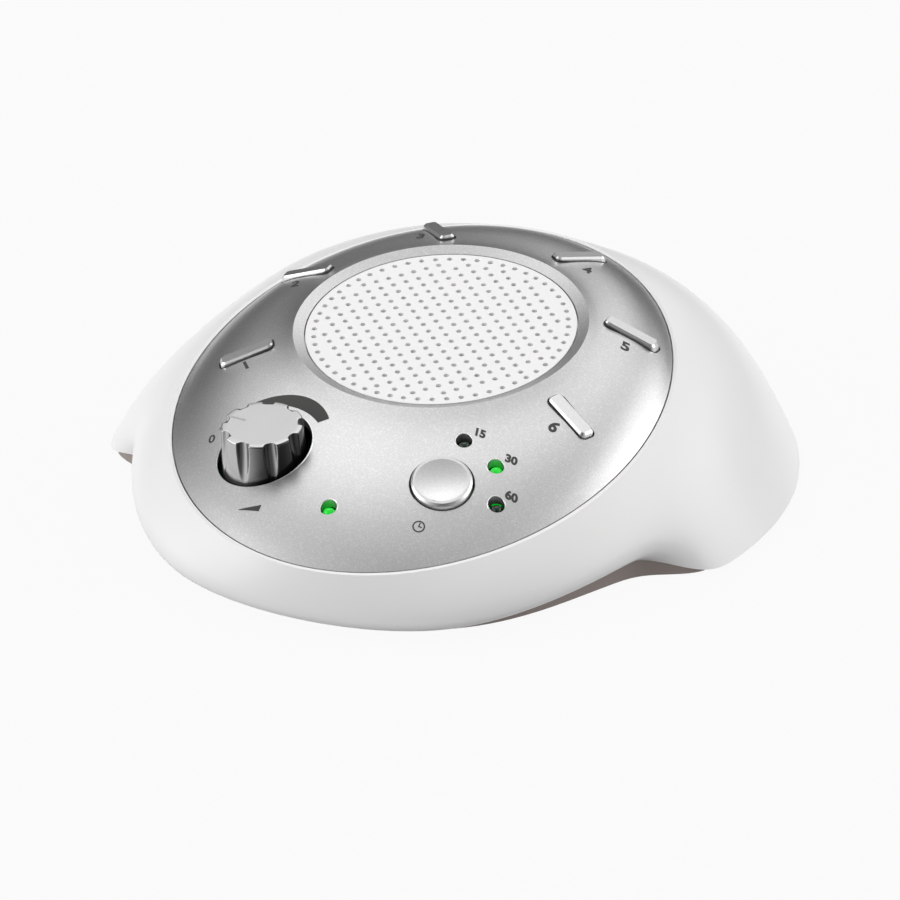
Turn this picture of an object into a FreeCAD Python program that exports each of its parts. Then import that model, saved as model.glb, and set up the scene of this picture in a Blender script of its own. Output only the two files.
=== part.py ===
import FreeCAD, Part

import math
import os

V = FreeCAD.Vector

# A bedside sound machine: a white winged housing on a taupe base pan, with a tilted silver
# control panel around a round speaker grille. Lengths are in millimetres.
# Origin: middle of the footprint on the table. +Z up, the front with the volume knob is -Y.

# Plan outline of the housing, as a radius around its pole. The pole lies behind the middle of
# the footprint, where the finished part's origin is.
POLE_Y = 3.0
BODY_R = 82.5
FRONT_REACH = 3.7
BACK_REACH = 1.5
ARCH_BITE = 10.6
EDGE_Z = 1.0
FRONT_EDGE_RISE = 1.1
ARCH_RISE = 4.4
ARCH_ANGLE = 34.0
ARCH_TO_FRONT = 40.0
ARCH_TO_WING = 15.5
LOBE_POWER = 1.5

# Rim of the silver panel: an ellipse in a tilted plane
RIM_HALF_WIDTH = 56.65
RIM_HALF_LENGTH = 68.47
RIM_TILT = 10.74
RIM_Y = -18.37
RIM_Z = 26.66

# The deck: the tilted plane of the grille, circuit board, buttons and knob
DECK_TILT = 7.8
DECK_Y = -8.0
DECK_Z = 38.7
GRILLE_R = 32.0

# Housing wall
WALL = 2.4
LIP = 1.2
LEDGE_W = 2.6
REBATE = 1.7
LEDGE_DROP = 3.7
# The wall bulges between the rim and the lower edge. The shares are of BODY_R, one for each
# angle away from the front, first outwards from the rim, then down from it.
BULGE_ANGLES = (0, 28, 56, 80, 100, 126, 153, 180)
BULGE_OUT_SHARES = (0.08, 0.17, 0.20, 0.17, 0.16, 0.24, 0.25, 0.18)
BULGE_DOWN_SHARES = (0.17, 0.16, 0.17, 0.09, 0.06, 0.05, 0.065, 0.115)
SKIN_SHARES = (0.0, 0.25, 0.5, 0.75, 1.0)
RING_POINTS = 48

# Face panel
PANEL_T = 2.0
PANEL_CROWN = 1.6
PANEL_EDGE_H = 1.6
PANEL_EDGE_W = 1.8
BEZEL_W = 2.9
BEZEL_R = GRILLE_R + BEZEL_W
BEZEL_Z = 1.0
SEAT_CLEAR = 0.35
SEAT_R = GRILLE_R + SEAT_CLEAR
SEAT_DROP = 1.7
SEAT_LEDGE_R = 30.2
SEAT_BOTTOM = 3.3
SEAT_RING_W = 4.1
SEAT_RING_R = GRILLE_R + SEAT_RING_W

# Grille
GRILLE_T = 1.6
HOLE_PITCH = 2.27
HOLE_R = 0.72
HOLE_FIELD_R = 28.0
HOLE_RING_R = 30.0
HOLE_RING_COUNT = 56
HOLE_SIDES = 8

# Controls on the deck: centre x, centre y, turn in degrees
SOUND_BUTTONS = {
    "white_noise": (41.2, -20.7, -29.5),
    "rain": (42.0, 15.6, -2.0),
    "summer_night": (18.4, 41.2, 44.0),
    "thunder": (-41.2, -20.7, 209.5),
    "ocean": (-42.0, 15.6, 182.0),
    "brook": (-18.4, 41.2, 136.0),
}
PILL_L = 12.6
PILL_W = 3.8
PILL_CORNER = 1.2
PILL_PROUD = 1.0
PILL_GAP = 0.35
FLANGE_REACH = 0.8
FLANGE_T = 0.8
FLANGE_TOP = 9.0
EDGE_BREAK = 0.45
SWITCH_SHIFT = 2.2
KNOB_X = -22.2
KNOB_Y = -52.0
TIMER_X = 22.2
TIMER_Y = -52.0
TIMER_R = 7.0
TIMER_GAP = 0.4
TIMER_DISH = 0.7
LED_RING_R = 13.2
LED_R = 1.6
LED_HOLE_R = 2.0
LED_FLANGE_R = 1.95
LED_FLANGE_T = 1.0
LED_SINK = 0.5
LED_STANDOFF = 0.6
LEAD_R = 0.25
LEAD_SPACING = 1.27
POWER_LED_Y = -65.7

# Volume knob and its control
KNOB_TOP_R = 9.5
KNOB_FOOT_R = 10.2
KNOB_TOP = 1.4
KNOB_FOOT = 11.6
KNOB_HOLE_R = 11.3
KNOB_WALL_R = 7.3
KNOB_ROOF = 1.8
HUB_R = 5.2
HUB_FOOT = 11.0
HUB_ROOF = 2.6
FLUTES = 12
FLUTE_R = 1.7
FLUTE_BITE = 1.25
FLUTE_LENGTH_SHARE = 0.8
SHAFT_R = 3.0
SHAFT_FIT = 0.04
SHAFT_FLAT = 1.6
SHAFT_TOP = 2.9
SHAFT_FOOT = 21.5
BUSH_R = 3.6
BUSH_TOP = 12.4
POT_R = 8.3
POT_H = 6.4
POT_LUG_W = 1.6
POT_LUG_T = 0.5
POT_LUG_L = 4.0

# Circuit board and tact switches
BOARD_TOP = 15.0
BOARD_T = 1.6
BOARD_Y = -9.0
BOARD_HALF_W = 49.8
BOARD_HALF_L = 60.5
BOARD_EYE_R = 34.2
SWITCH_SIZE = 6.0
SWITCH_H = 3.5
PLUNGER_R = 1.7
PLUNGER_TOP = 10.0
PLUNGER_SINK = 0.7
SWITCH_WELL = 1.4
BOARD_POSTS = ((30.0, -36.0), (-30.0, -36.0), (41.5, -1.0), (-41.5, -1.0), (0.0, 42.0))
BOARD_POST_R = 2.4
PILOT_R = 1.25
CHIP_SIZE = 9.0
CHIP_H = 1.5
CHIP_Y = -46.0
CAN_R = 3.1
CAN_H = 6.8
CAN_X = 6.5
CAN_Y = -57.0

# Speaker
GASKET_IN_R = 30.4
GASKET_OUT_R = 32.8
GASKET_T = 1.0
SPEAKER_R = 33.0
SPEAKER_FLANGE_T = 1.0
BASKET_TOP_R = 28.6
BASKET_FOOT_R = 16.6
BASKET_FOOT = 13.0
BASKET_WALL = 1.0
BACK_PLATE_T = 1.2
MAGNET_R = 16.0
MAGNET_FOOT = 18.4
CONE_RIM_R = 30.1
CONE_EDGE_R = 27.4
CONE_THROAT_R = 8.0
CONE_THROAT = 10.2
CONE_T = 0.45
CONE_CAP_RISE = 2.0
SPEAKER_SCREW_R = 35.8

# Base pan
PAN_Z = 1.0
PAN_T = 2.0
PAN_INSET = 0.5
PAN_WING_INSET = 3.0
PAN_BAND_W = 2.3
PAN_FLOOR_INSET = 2.6
JOINT_GAP = 0.15
BAY_HALF_W = 30.2
BAY_FRONT = -12.3
BAY_BACK = 45.5
BAY_ROOF_Z = 17.7
BAY_WALL = 1.4
CELL_PITCH = 14.9
CRADLE_T = 1.0
CRADLE_H = 3.4

# Battery contacts
CONTACT_T = 0.4
CONTACT_LOW = 5.0
CONTACT_HIGH = 14.0
CONTACT_HALF_W = 5.5
SPRING_R = 3.6
SPRING_TIP_R = 2.4
SPRING_WIRE_R = 0.35
SPRING_L = 5.5
SPRING_TURNS = 3
SPRING_STEPS = 14
WIRE_SIDES = 6
CELL_SHARES = (-1.5, -0.5, 0.5, 1.5)

# Battery door
DOOR_GAP = 0.3
DOOR_T = 2.0
DOOR_PIN_R = 0.7
DOOR_PIN_L = 0.9
LATCH_HALF_W = 6.0
LATCH_T = 1.1
LATCH_H = 4.0
LATCH_NIB = 0.5
LATCH_NOTCH = 2.2

# Fasteners and feet
CASE_POSTS = ((64.0, -8.0), (34.0, 58.0), (40.0, -60.0))
CASE_POST_R = 3.6
CASE_POST_Z = 8.1
PILLAR_R = 4.6
PILLAR_TOP = 8.0
SCREW_SEAT_Z = 5.5
SCREW_R = 1.4
SCREW_CLEAR_R = 1.7
SCREW_HEAD_R = 2.9
SCREW_HEAD_H = 1.8
SCREW_RECESS_R = 3.4
SCREW_TIP_Z = 15.0
SMALL_SCREW_R = 1.2
SMALL_HEAD_R = 2.3
SMALL_HEAD_H = 1.3
SPEAKER_HEAD_R = 3.3
SMALL_BITE = 3.2
FOOT_R = 5.0
FOOT_H = 1.8
FOOT_SPOTS = ((47.0, -43.0), (50.0, 45.0))
FOOT_GAP = 0.25
SEAT_GAP = 0.05

# Power inlet at the back
JACK_Z = 11.2
JACK_POCKET_R = 6.0
JACK_TUBE_R = 7.6
JACK_FLOOR_Y = 71.5
JACK_FLOOR_T = 2.0
JACK_NOSE_R = 4.0
JACK_BORE_R = 2.85
JACK_BORE_L = 9.0
JACK_PIN_R = 1.0
JACK_W = 9.0
JACK_H = 10.8
JACK_L = 13.0
JACK_CORNER = 0.6

TINY_SHARE = 0.001
FAR = 200.0


def on_deck(shape):
    """Moves a shape drawn on the flat deck (z = 0 at the grille) to its tilted place."""
    placed = shape.copy()
    placed.rotate(V(0, 0, 0), V(1, 0, 0), DECK_TILT)
    placed.translate(V(0, DECK_Y, DECK_Z))
    return placed


def polar(radius, angle):
    return radius * math.cos(math.radians(angle)), radius * math.sin(math.radians(angle))


def mirrored_spots(spots):
    return [(side * x, y) for x, y in spots for side in (1, -1)]


def ring(point_at):
    """A closed smooth curve through the points that point_at gives around the origin."""
    angles = [360.0 * i / RING_POINTS for i in range(RING_POINTS)]
    points = []
    for angle in angles:
        radius, height = point_at(angle)
        points.append(V(*polar(radius, angle), height))
    steps = [i / RING_POINTS for i in range(RING_POINTS + 1)]
    curve = Part.BSplineCurve()
    curve.interpolate(Points=points, PeriodicFlag=True, Parameters=steps)
    return Part.Wire(curve.toShape())


def band(first, second):
    return Part.makeRuledSurface(first, second, 1).Faces


def skin(rings):
    return Part.makeLoft(rings, False, False).Faces


def closed(faces):
    """Sews faces that share their edges into one solid."""
    shell = Part.Shell(faces)
    shell.sewShape()
    solid = Part.Solid(shell)
    if solid.Volume < 0:
        solid.reverse()
    return solid


def disc(radius, low, high, x=0, y=0):
    return Part.makeCylinder(radius, high - low, V(x, y, low))


def tube(outer, inner, low, high, x=0, y=0):
    return disc(outer, low, high, x, y).cut(disc(inner, low, high, x, y))


def block(x0, x1, y0, y1, z0, z1):
    return Part.makeBox(x1 - x0, y1 - y0, z1 - z0, V(x0, y0, z0))


def turned(profile):
    """A solid turned about Z from a closed outline of (radius, height) points."""
    points = [V(r, 0, z) for r, z in profile]
    face = Part.Face(Part.makePolygon(points + points[:1]))
    return face.revolve(V(0, 0, 0), V(0, 0, 1), 360)


def rounded_bar(length, width, corner, low, high):
    """An upright bar with rounded corners, centred on the origin."""
    bar = block(-length / 2, length / 2, -width / 2, width / 2, low, high)
    edges = [e for e in bar.Edges if abs(e.tangentAt(e.FirstParameter).z) > 0.5]
    return bar.makeFillet(corner, edges)


def placed(shape, x, y, turn=0):
    moved = shape.copy()
    moved.rotate(V(0, 0, 0), V(0, 0, 1), turn)
    moved.translate(V(x, y, 0))
    return moved


def bump(angle, centre, before, after):
    away = (angle - centre + 180) % 360 - 180
    reach = before if away < 0 else after
    share = min(abs(away) / reach, 1)
    return math.cos(math.pi / 2 * share) ** 2


def arch(angle):
    """1 at the crown of a front arch, 0 away from it."""
    right = bump(angle, -ARCH_ANGLE, ARCH_TO_FRONT, ARCH_TO_WING)
    left = bump(angle, 180 + ARCH_ANGLE, ARCH_TO_WING, ARCH_TO_FRONT)
    return right + left


def edge_radius(angle):
    """The plan outline of the housing's lower edge."""
    side = math.sin(math.radians(angle))
    front = max(-side, 0) ** LOBE_POWER
    back = max(side, 0) ** 2
    return BODY_R + FRONT_REACH * front + BACK_REACH * back - ARCH_BITE * arch(angle)


def edge_height(angle):
    """The wavy height of the housing's lower edge."""
    front = max(-math.sin(math.radians(angle)), 0) ** LOBE_POWER
    return EDGE_Z + FRONT_EDGE_RISE * front + ARCH_RISE * arch(angle)


def ellipse_radius(angle, half_x, half_y, centre_y):
    """How far an ellipse centred at (0, centre_y) lies from the origin in a direction."""
    c = math.cos(math.radians(angle))
    s = math.sin(math.radians(angle))
    a = (c / half_x) ** 2 + (s / half_y) ** 2
    b = -2 * s * centre_y / half_y ** 2
    d = (centre_y / half_y) ** 2 - 1
    return (-b + math.sqrt(b * b - 4 * a * d)) / (2 * a)


def rim_point(angle, grow, drop):
    """The panel's rim, grown outwards and dropped along the rim plane's normal."""
    tilt = math.radians(RIM_TILT)
    centre_y = RIM_Y + drop * math.sin(tilt)
    centre_z = RIM_Z - drop * math.cos(tilt)
    half_y = (RIM_HALF_LENGTH + grow) * math.cos(tilt)
    radius = ellipse_radius(angle, RIM_HALF_WIDTH + grow, half_y, centre_y)
    rise = (radius * math.sin(math.radians(angle)) - centre_y) * math.tan(tilt)
    return radius, centre_z + rise


def rim_ring(grow, drop):
    return ring(lambda angle: rim_point(angle, grow, drop))


def along_front(angle, shares):
    """Smooth interpolation of a table given by the angle away from the front."""
    away = abs((angle + 90 + 180) % 360 - 180)
    last = len(BULGE_ANGLES) - 1
    i = max(k for k in range(last) if BULGE_ANGLES[k] <= away)
    width = BULGE_ANGLES[i + 1] - BULGE_ANGLES[i]
    t = (away - BULGE_ANGLES[i]) / width

    def slope(k):
        if k in (0, last):
            return 0
        before = (shares[k] - shares[k - 1]) / (BULGE_ANGLES[k] - BULGE_ANGLES[k - 1])
        after = (shares[k + 1] - shares[k]) / (BULGE_ANGLES[k + 1] - BULGE_ANGLES[k])
        return (before + after) / 2 * width

    rise = (3 - 2 * t) * t * t
    bend = t * (1 - t) * (slope(i) * (1 - t) - slope(i + 1) * t)
    return shares[i] * (1 - rise) + shares[i + 1] * rise + bend


def wall_ring(share, inset, top_drop):
    """One level of the housing's skin: a quadratic curve from the rim to the lower edge."""

    def point_at(angle):
        top_r, top_z = rim_point(angle, LIP - inset, top_drop)
        rim_r, rim_z = rim_point(angle, LIP, 0)
        mid_r = rim_r + BODY_R * along_front(angle, BULGE_OUT_SHARES) - inset
        mid_z = rim_z - BODY_R * along_front(angle, BULGE_DOWN_SHARES)
        low_r = edge_radius(angle) - inset
        low_z = edge_height(angle)
        a, b, c = (1 - share) ** 2, 2 * share * (1 - share), share ** 2
        return a * top_r + b * mid_r + c * low_r, a * top_z + b * mid_z + c * low_z

    return ring(point_at)


def edge_ring(inset, height_at):
    return ring(lambda angle: (edge_radius(angle) - inset(angle), height_at(angle)))


def housing_shell():
    outer = [wall_ring(share, 0, 0) for share in SKIN_SHARES]
    inner = [wall_ring(share, WALL, LEDGE_DROP) for share in SKIN_SHARES]
    mouth_top = rim_ring(-LEDGE_W, 0)
    mouth_low = rim_ring(-LEDGE_W, LEDGE_DROP)
    faces = skin(outer) + skin(inner) + band(outer[-1], inner[-1])
    faces += band(outer[0], mouth_top) + band(mouth_top, mouth_low)
    faces += band(mouth_low, inner[0])
    return closed(faces)


def middle_of_wall():
    """The space inside the middle of the wall, which trims what grows on its inside."""
    inset = WALL / 2
    rings = [wall_ring(share, inset, LEDGE_DROP - inset) for share in SKIN_SHARES]
    low = edge_ring(lambda angle: inset, lambda angle: -PAN_T)
    return closed(skin(rings) + band(rings[-1], low) + [Part.Face(rings[0]), Part.Face(low)])


def panel_rebate():
    low = rim_ring(PILL_GAP, REBATE)
    high = rim_ring(PILL_GAP, -REBATE)
    return closed(band(low, high) + [Part.Face(low), Part.Face(high)])


def along_y(radius, y0, y1, z, x=0):
    return Part.makeCylinder(radius, y1 - y0, V(x, y0, z), V(0, 1, 0))


def upper_housing():
    inside = middle_of_wall()
    shape = housing_shell()
    posts = [disc(CASE_POST_R, CASE_POST_Z, DECK_Z, x, y) for x, y in mirrored_spots(CASE_POSTS)]
    tube_body = along_y(JACK_TUBE_R, JACK_FLOOR_Y - JACK_FLOOR_T, BODY_R, JACK_Z)
    for grown in posts + [tube_body]:
        shape = shape.fuse(grown.common(inside))
    shape = shape.cut(panel_rebate())
    for x, y in mirrored_spots(CASE_POSTS):
        shape = shape.cut(disc(SCREW_R + SEAT_GAP, CASE_POST_Z, SCREW_TIP_Z + SEAT_GAP, x, y))
    shape = shape.cut(along_y(JACK_POCKET_R, JACK_FLOOR_Y, FAR, JACK_Z))
    return shape.cut(along_y(JACK_NOSE_R + PILL_GAP, 0, FAR, JACK_Z))


def deck_rim(angle):
    """The panel's rim as seen on the deck: radius from the grille's centre, and height."""
    tilt = math.radians(DECK_TILT)
    lean = math.radians(RIM_TILT - DECK_TILT)
    away_y = RIM_Y - DECK_Y
    away_z = RIM_Z - DECK_Z
    centre_y = away_y * math.cos(tilt) + away_z * math.sin(tilt)
    centre_z = away_z * math.cos(tilt) - away_y * math.sin(tilt)
    half_y = RIM_HALF_LENGTH * math.cos(lean)
    radius = ellipse_radius(angle, RIM_HALF_WIDTH, half_y, centre_y)
    return radius, centre_y, centre_z, math.tan(lean)


def rim_plane_z(angle, radius):
    _, centre_y, centre_z, lean = deck_rim(angle)
    return centre_z + (radius * math.sin(math.radians(angle)) - centre_y) * lean


def panel_z(angle, radius):
    """Height of the panel's face over the deck: a cone from bezel to rim with a low crown."""
    rim_r = deck_rim(angle)[0]
    u = (radius - BEZEL_R) / (rim_r - BEZEL_R)
    crown = PANEL_CROWN * 27 / 4 * u * u * (1 - u)
    return (1 - u) * BEZEL_Z + u * rim_plane_z(angle, rim_r) + crown


def panel_at(x, y):
    return panel_z(math.degrees(math.atan2(y, x)), math.hypot(x, y))


def panel_slope(x, y):
    step = GRILLE_R * TINY_SHARE
    along_x = (panel_at(x + step, y) - panel_at(x - step, y)) / (2 * step)
    across = (panel_at(x, y + step) - panel_at(x, y - step)) / (2 * step)
    return along_x, across


def circle_ring(radius, height):
    return ring(lambda angle: (radius, height))


def panel_skin(start_r, edge_w, under):
    """Rings of the panel's face or underside from the middle out to the rim."""

    def level(share):
        def point_at(angle):
            radius = start_r + share * (deck_rim(angle)[0] - edge_w - start_r)
            return radius, panel_z(angle, radius) - under

        return ring(point_at)

    return [level(share) for share in SKIN_SHARES]


def panel_shell():
    top = panel_skin(BEZEL_R, 0, 0)
    under = panel_skin(SEAT_RING_R, PANEL_EDGE_W, PANEL_T)
    edge_lean = math.radians(RIM_TILT - DECK_TILT)
    edge_drop = PANEL_EDGE_H / math.cos(edge_lean)

    def edge(width):
        def point_at(angle):
            radius = deck_rim(angle)[0] - width
            return radius, rim_plane_z(angle, radius) - edge_drop

        return ring(point_at)

    corners = [
        circle_ring(SEAT_R, 0),
        circle_ring(SEAT_R, -SEAT_DROP),
        circle_ring(SEAT_LEDGE_R, -SEAT_DROP),
        circle_ring(SEAT_LEDGE_R, -SEAT_BOTTOM),
        circle_ring(SEAT_RING_R, -SEAT_BOTTOM),
        under[0],
    ]
    path = [top[0]] + corners
    faces = skin(top) + skin(under)
    for first, second in zip(path, path[1:]):
        faces += band(first, second)
    rim_low, rim_in = edge(0), edge(PANEL_EDGE_W)
    faces += band(top[-1], rim_low) + band(rim_low, rim_in) + band(rim_in, under[-1])
    return closed(faces)


def led_spots():
    spots = {"power_led": (0, POWER_LED_Y)}
    for name, angle in (("timer_led_15", 90), ("timer_led_30", 45), ("timer_led_60", 0)):
        dx, dy = polar(LED_RING_R, angle)
        spots[name] = (TIMER_X + dx, TIMER_Y + dy)
    return spots


def speaker_screw_spots():
    return [polar(SPEAKER_SCREW_R, angle) for angle in (45, 135, 225, 315)]


def face_panel():
    shape = panel_shell()
    clamp_z = SEAT_BOTTOM + GASKET_T + SPEAKER_FLANGE_T + 3 * SEAT_GAP
    for x, y in speaker_screw_spots():
        boss = disc(BOARD_POST_R, -clamp_z, panel_at(x, y) - PANEL_T / 2, x, y)
        shape = shape.fuse(boss)
    for x, y in BOARD_POSTS:
        boss = disc(BOARD_POST_R, SEAT_GAP - BOARD_TOP, panel_at(x, y) - PANEL_T / 2, x, y)
        shape = shape.fuse(boss)
    for x, y in speaker_screw_spots():
        shape = shape.cut(disc(PILOT_R, -clamp_z, SMALL_BITE - clamp_z, x, y))
    for x, y in BOARD_POSTS:
        shape = shape.cut(disc(PILOT_R, -BOARD_TOP, SMALL_BITE + SEAT_GAP - BOARD_TOP, x, y))
    holes = [disc(KNOB_HOLE_R, -BOARD_TOP, GRILLE_R, KNOB_X, KNOB_Y)]
    holes.append(disc(TIMER_R + TIMER_GAP, -BOARD_TOP, GRILLE_R, TIMER_X, TIMER_Y))
    holes += [disc(LED_HOLE_R, -BOARD_TOP, GRILLE_R, x, y) for x, y in led_spots().values()]
    length = PILL_L + 2 * PILL_GAP
    width = PILL_W + 2 * PILL_GAP
    slot = rounded_bar(length, width, PILL_CORNER + PILL_GAP, -BOARD_TOP, GRILLE_R)
    holes += [placed(slot, x, y, turn) for x, y, turn in SOUND_BUTTONS.values()]
    for hole in holes:
        shape = shape.cut(hole)
    return shape


def grille_holes():
    reach = int(HOLE_FIELD_R / HOLE_PITCH) + 1
    field = range(-reach, reach + 1)
    spots = [(i * HOLE_PITCH, j * HOLE_PITCH) for i in field for j in field if (i + j) % 2 == 0]
    spots = [spot for spot in spots if math.hypot(*spot) < HOLE_FIELD_R]
    ring_step = 360.0 / HOLE_RING_COUNT
    return spots + [polar(HOLE_RING_R, k * ring_step) for k in range(HOLE_RING_COUNT)]


def many_sided(radius, sides, x, y):
    """The outline of a small opening with straight sides."""
    turns = [360.0 * (k + 1 / 2) / sides for k in range(sides)]
    corners = [V(x, y, 0) + V(*polar(radius, turn), 0) for turn in turns]
    return Part.makePolygon(corners + corners[:1])


def speaker_grille():
    outline = Part.Wire(Part.makeCircle(GRILLE_R))
    wires = [many_sided(HOLE_R, HOLE_SIDES, x, y) for x, y in grille_holes()]
    plate = Part.Face([outline] + wires)
    return plate.extrude(V(0, 0, -GRILLE_T))


def face_cutter(x, y, turn, proud):
    """A half space over a plane that stands proud of the panel and follows its slope."""
    slope_x, slope_y = panel_slope(x, y)
    c = math.cos(math.radians(-turn))
    s = math.sin(math.radians(-turn))
    local_x = slope_x * c - slope_y * s
    local_y = slope_x * s + slope_y * c
    tilt = math.degrees(math.atan(math.hypot(local_x, local_y)))
    heading = math.degrees(math.atan2(local_y, local_x))
    cutter = block(-FAR, FAR, -FAR, FAR, 0, FAR)
    cutter.rotate(V(0, 0, 0), V(0, 0, 1), -heading)
    cutter.rotate(V(0, 0, 0), V(0, 1, 0), -tilt)
    cutter.rotate(V(0, 0, 0), V(0, 0, 1), heading)
    cutter.translate(V(0, 0, panel_at(x, y) + proud))
    return cutter


def top_edges(shape):
    """The edges around the slanted face on top of a button."""
    slanted = max(shape.Faces, key=lambda face: face.CenterOfMass.z)
    return slanted.Edges


def sound_button(x, y, turn):
    cap = rounded_bar(PILL_L, PILL_W, PILL_CORNER, -FLANGE_TOP, GRILLE_R)
    cap = cap.cut(face_cutter(x, y, turn, PILL_PROUD))
    cap = cap.makeChamfer(EDGE_BREAK, top_edges(cap))
    reach = 2 * FLANGE_REACH
    corner = PILL_CORNER + FLANGE_REACH
    foot = -FLANGE_TOP - FLANGE_T
    flange = rounded_bar(PILL_L + reach, PILL_W + reach, corner, foot, -FLANGE_TOP)
    stem = disc(PLUNGER_R, SEAT_GAP - PLUNGER_TOP, foot, -SWITCH_SHIFT, 0)
    return placed(cap.fuse(flange).fuse(stem), x, y, turn)


def switch_spots():
    spots = {}
    for name, (x, y, turn) in SOUND_BUTTONS.items():
        dx, dy = polar(SWITCH_SHIFT, turn)
        spots[name] = (x - dx, y - dy, turn)
    spots["timer"] = (TIMER_X, TIMER_Y, 0)
    return spots


def timer_button():
    body = disc(TIMER_R, -FLANGE_TOP, GRILLE_R)
    body = body.cut(face_cutter(TIMER_X, TIMER_Y, 0, PILL_PROUD))
    body = body.makeChamfer(EDGE_BREAK, top_edges(body))
    slope_x, slope_y = panel_slope(TIMER_X, TIMER_Y)
    steep = math.hypot(slope_x, slope_y)
    normal = V(-slope_x, -slope_y, 1).normalize()
    dish_edge = TIMER_R - 2 * EDGE_BREAK
    dish_r = (dish_edge ** 2 + TIMER_DISH ** 2) / (2 * TIMER_DISH)
    top = V(0, 0, panel_at(TIMER_X, TIMER_Y) + PILL_PROUD)
    dish = Part.makeSphere(dish_r, top + normal * (dish_r - TIMER_DISH))
    body = body.cut(dish)
    foot = -FLANGE_TOP - FLANGE_T
    flange = disc(TIMER_R + FLANGE_REACH, foot, -FLANGE_TOP)
    uphill = block(0, GRILLE_R, -GRILLE_R, GRILLE_R, -GRILLE_R, GRILLE_R)
    uphill.rotate(V(0, 0, 0), V(0, 0, 1), math.degrees(math.atan2(slope_y, slope_x)))
    inner = disc(TIMER_R, foot, -FLANGE_TOP)
    stem = disc(PLUNGER_R, SEAT_GAP - PLUNGER_TOP, foot)
    body = body.fuse(flange.common(uphill)).fuse(inner).fuse(stem)
    return placed(body, TIMER_X, TIMER_Y)


def switch_plunger(x, y, turn):
    return disc(PLUNGER_R, SWITCH_H - BOARD_TOP - PLUNGER_SINK, -PLUNGER_TOP, x, y)


def tact_switches():
    half = SWITCH_SIZE / 2
    top = SWITCH_H - BOARD_TOP
    body = block(-half, half, -half, half, SEAT_GAP - BOARD_TOP, top)
    body = body.cut(disc(PLUNGER_R + SEAT_GAP, top - SWITCH_WELL, top))
    return Part.makeCompound([placed(body, *spot) for spot in switch_spots().values()])


def volume_knob():
    profile = [
        (0, KNOB_TOP),
        (KNOB_TOP_R, KNOB_TOP),
        (KNOB_FOOT_R, -KNOB_FOOT),
        (KNOB_WALL_R, -KNOB_FOOT),
        (KNOB_WALL_R, KNOB_TOP - KNOB_ROOF),
        (HUB_R, KNOB_TOP - KNOB_ROOF),
        (HUB_R, -HUB_FOOT),
        (0, -HUB_FOOT),
    ]
    body = turned(profile)
    rim = [e for e in body.Edges if e.BoundBox.ZMin > KNOB_TOP - EDGE_BREAK]
    body = body.makeFillet(EDGE_BREAK, rim)
    length = (KNOB_TOP + KNOB_FOOT) * FLUTE_LENGTH_SHARE
    start = V(KNOB_TOP_R + FLUTE_R - FLUTE_BITE, 0, KNOB_TOP + EDGE_BREAK)
    end_r = KNOB_TOP_R + (KNOB_FOOT_R - KNOB_TOP_R) * FLUTE_LENGTH_SHARE + FLUTE_R
    end = V(end_r, 0, KNOB_TOP - length)
    flute = Part.makeCylinder(FLUTE_R, (end - start).Length, start, end - start)
    for k in range(FLUTES):
        body = body.cut(placed(flute, 0, 0, 360.0 * k / FLUTES))
    bore = shaft_bar(SHAFT_R + SHAFT_FIT, SHAFT_FLAT + SHAFT_FIT, -HUB_FOOT, SEAT_GAP - SHAFT_TOP)
    return placed(body.cut(bore), KNOB_X, KNOB_Y)


def shaft_bar(radius, flat, low, high):
    """A round bar with a flat along one side."""
    bar = disc(radius, low, high)
    return bar.cut(block(flat, GRILLE_R, -GRILLE_R, GRILLE_R, low, high))


def volume_shaft():
    round_part = disc(SHAFT_R, -SHAFT_FOOT, -BUSH_TOP)
    flat_part = shaft_bar(SHAFT_R, SHAFT_FLAT, -BUSH_TOP, -SHAFT_TOP)
    return placed(round_part.fuse(flat_part), KNOB_X, KNOB_Y)


def volume_control():
    top = -BOARD_TOP - BOARD_T - SEAT_GAP
    body = disc(POT_R, top - POT_H, top)
    bush = disc(BUSH_R, top - SEAT_GAP, -BUSH_TOP - SEAT_GAP)
    body = body.fuse(bush)
    body = body.cut(disc(SHAFT_R + SHAFT_FIT, -SHAFT_FOOT - SEAT_GAP, 0))
    foot = top - POT_H / 2
    for step in (-1, 0, 1):
        x = step * POT_R / 2
        left = x - POT_LUG_W / 2
        end = -POT_R - POT_LUG_L
        body = body.fuse(block(left, left + POT_LUG_W, end, end / 2, foot, foot + POT_LUG_T))
    return placed(body, KNOB_X, KNOB_Y)


def main_board():
    outline = Part.Ellipse(V(0, 0, 0), BOARD_HALF_L, BOARD_HALF_W).toShape()
    outline.rotate(V(0, 0, 0), V(0, 0, 1), 90)
    outline.translate(V(0, BOARD_Y, -BOARD_TOP))
    board = Part.Face(Part.Wire(outline)).extrude(V(0, 0, -BOARD_T))
    low = -BOARD_TOP - BOARD_T
    board = board.cut(disc(BOARD_EYE_R, low, -BOARD_TOP))
    board = board.cut(disc(BUSH_R + SEAT_GAP, low, -BOARD_TOP, KNOB_X, KNOB_Y))
    for x, y in BOARD_POSTS:
        board = board.cut(disc(SMALL_SCREW_R + PILL_GAP, low, -BOARD_TOP, x, y))
    for x, y in led_spots().values():
        for side in (-1, 1):
            board = board.cut(disc(LEAD_R + SEAT_GAP, low, -BOARD_TOP, x + side * LEAD_SPACING, y))
    return board


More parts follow.
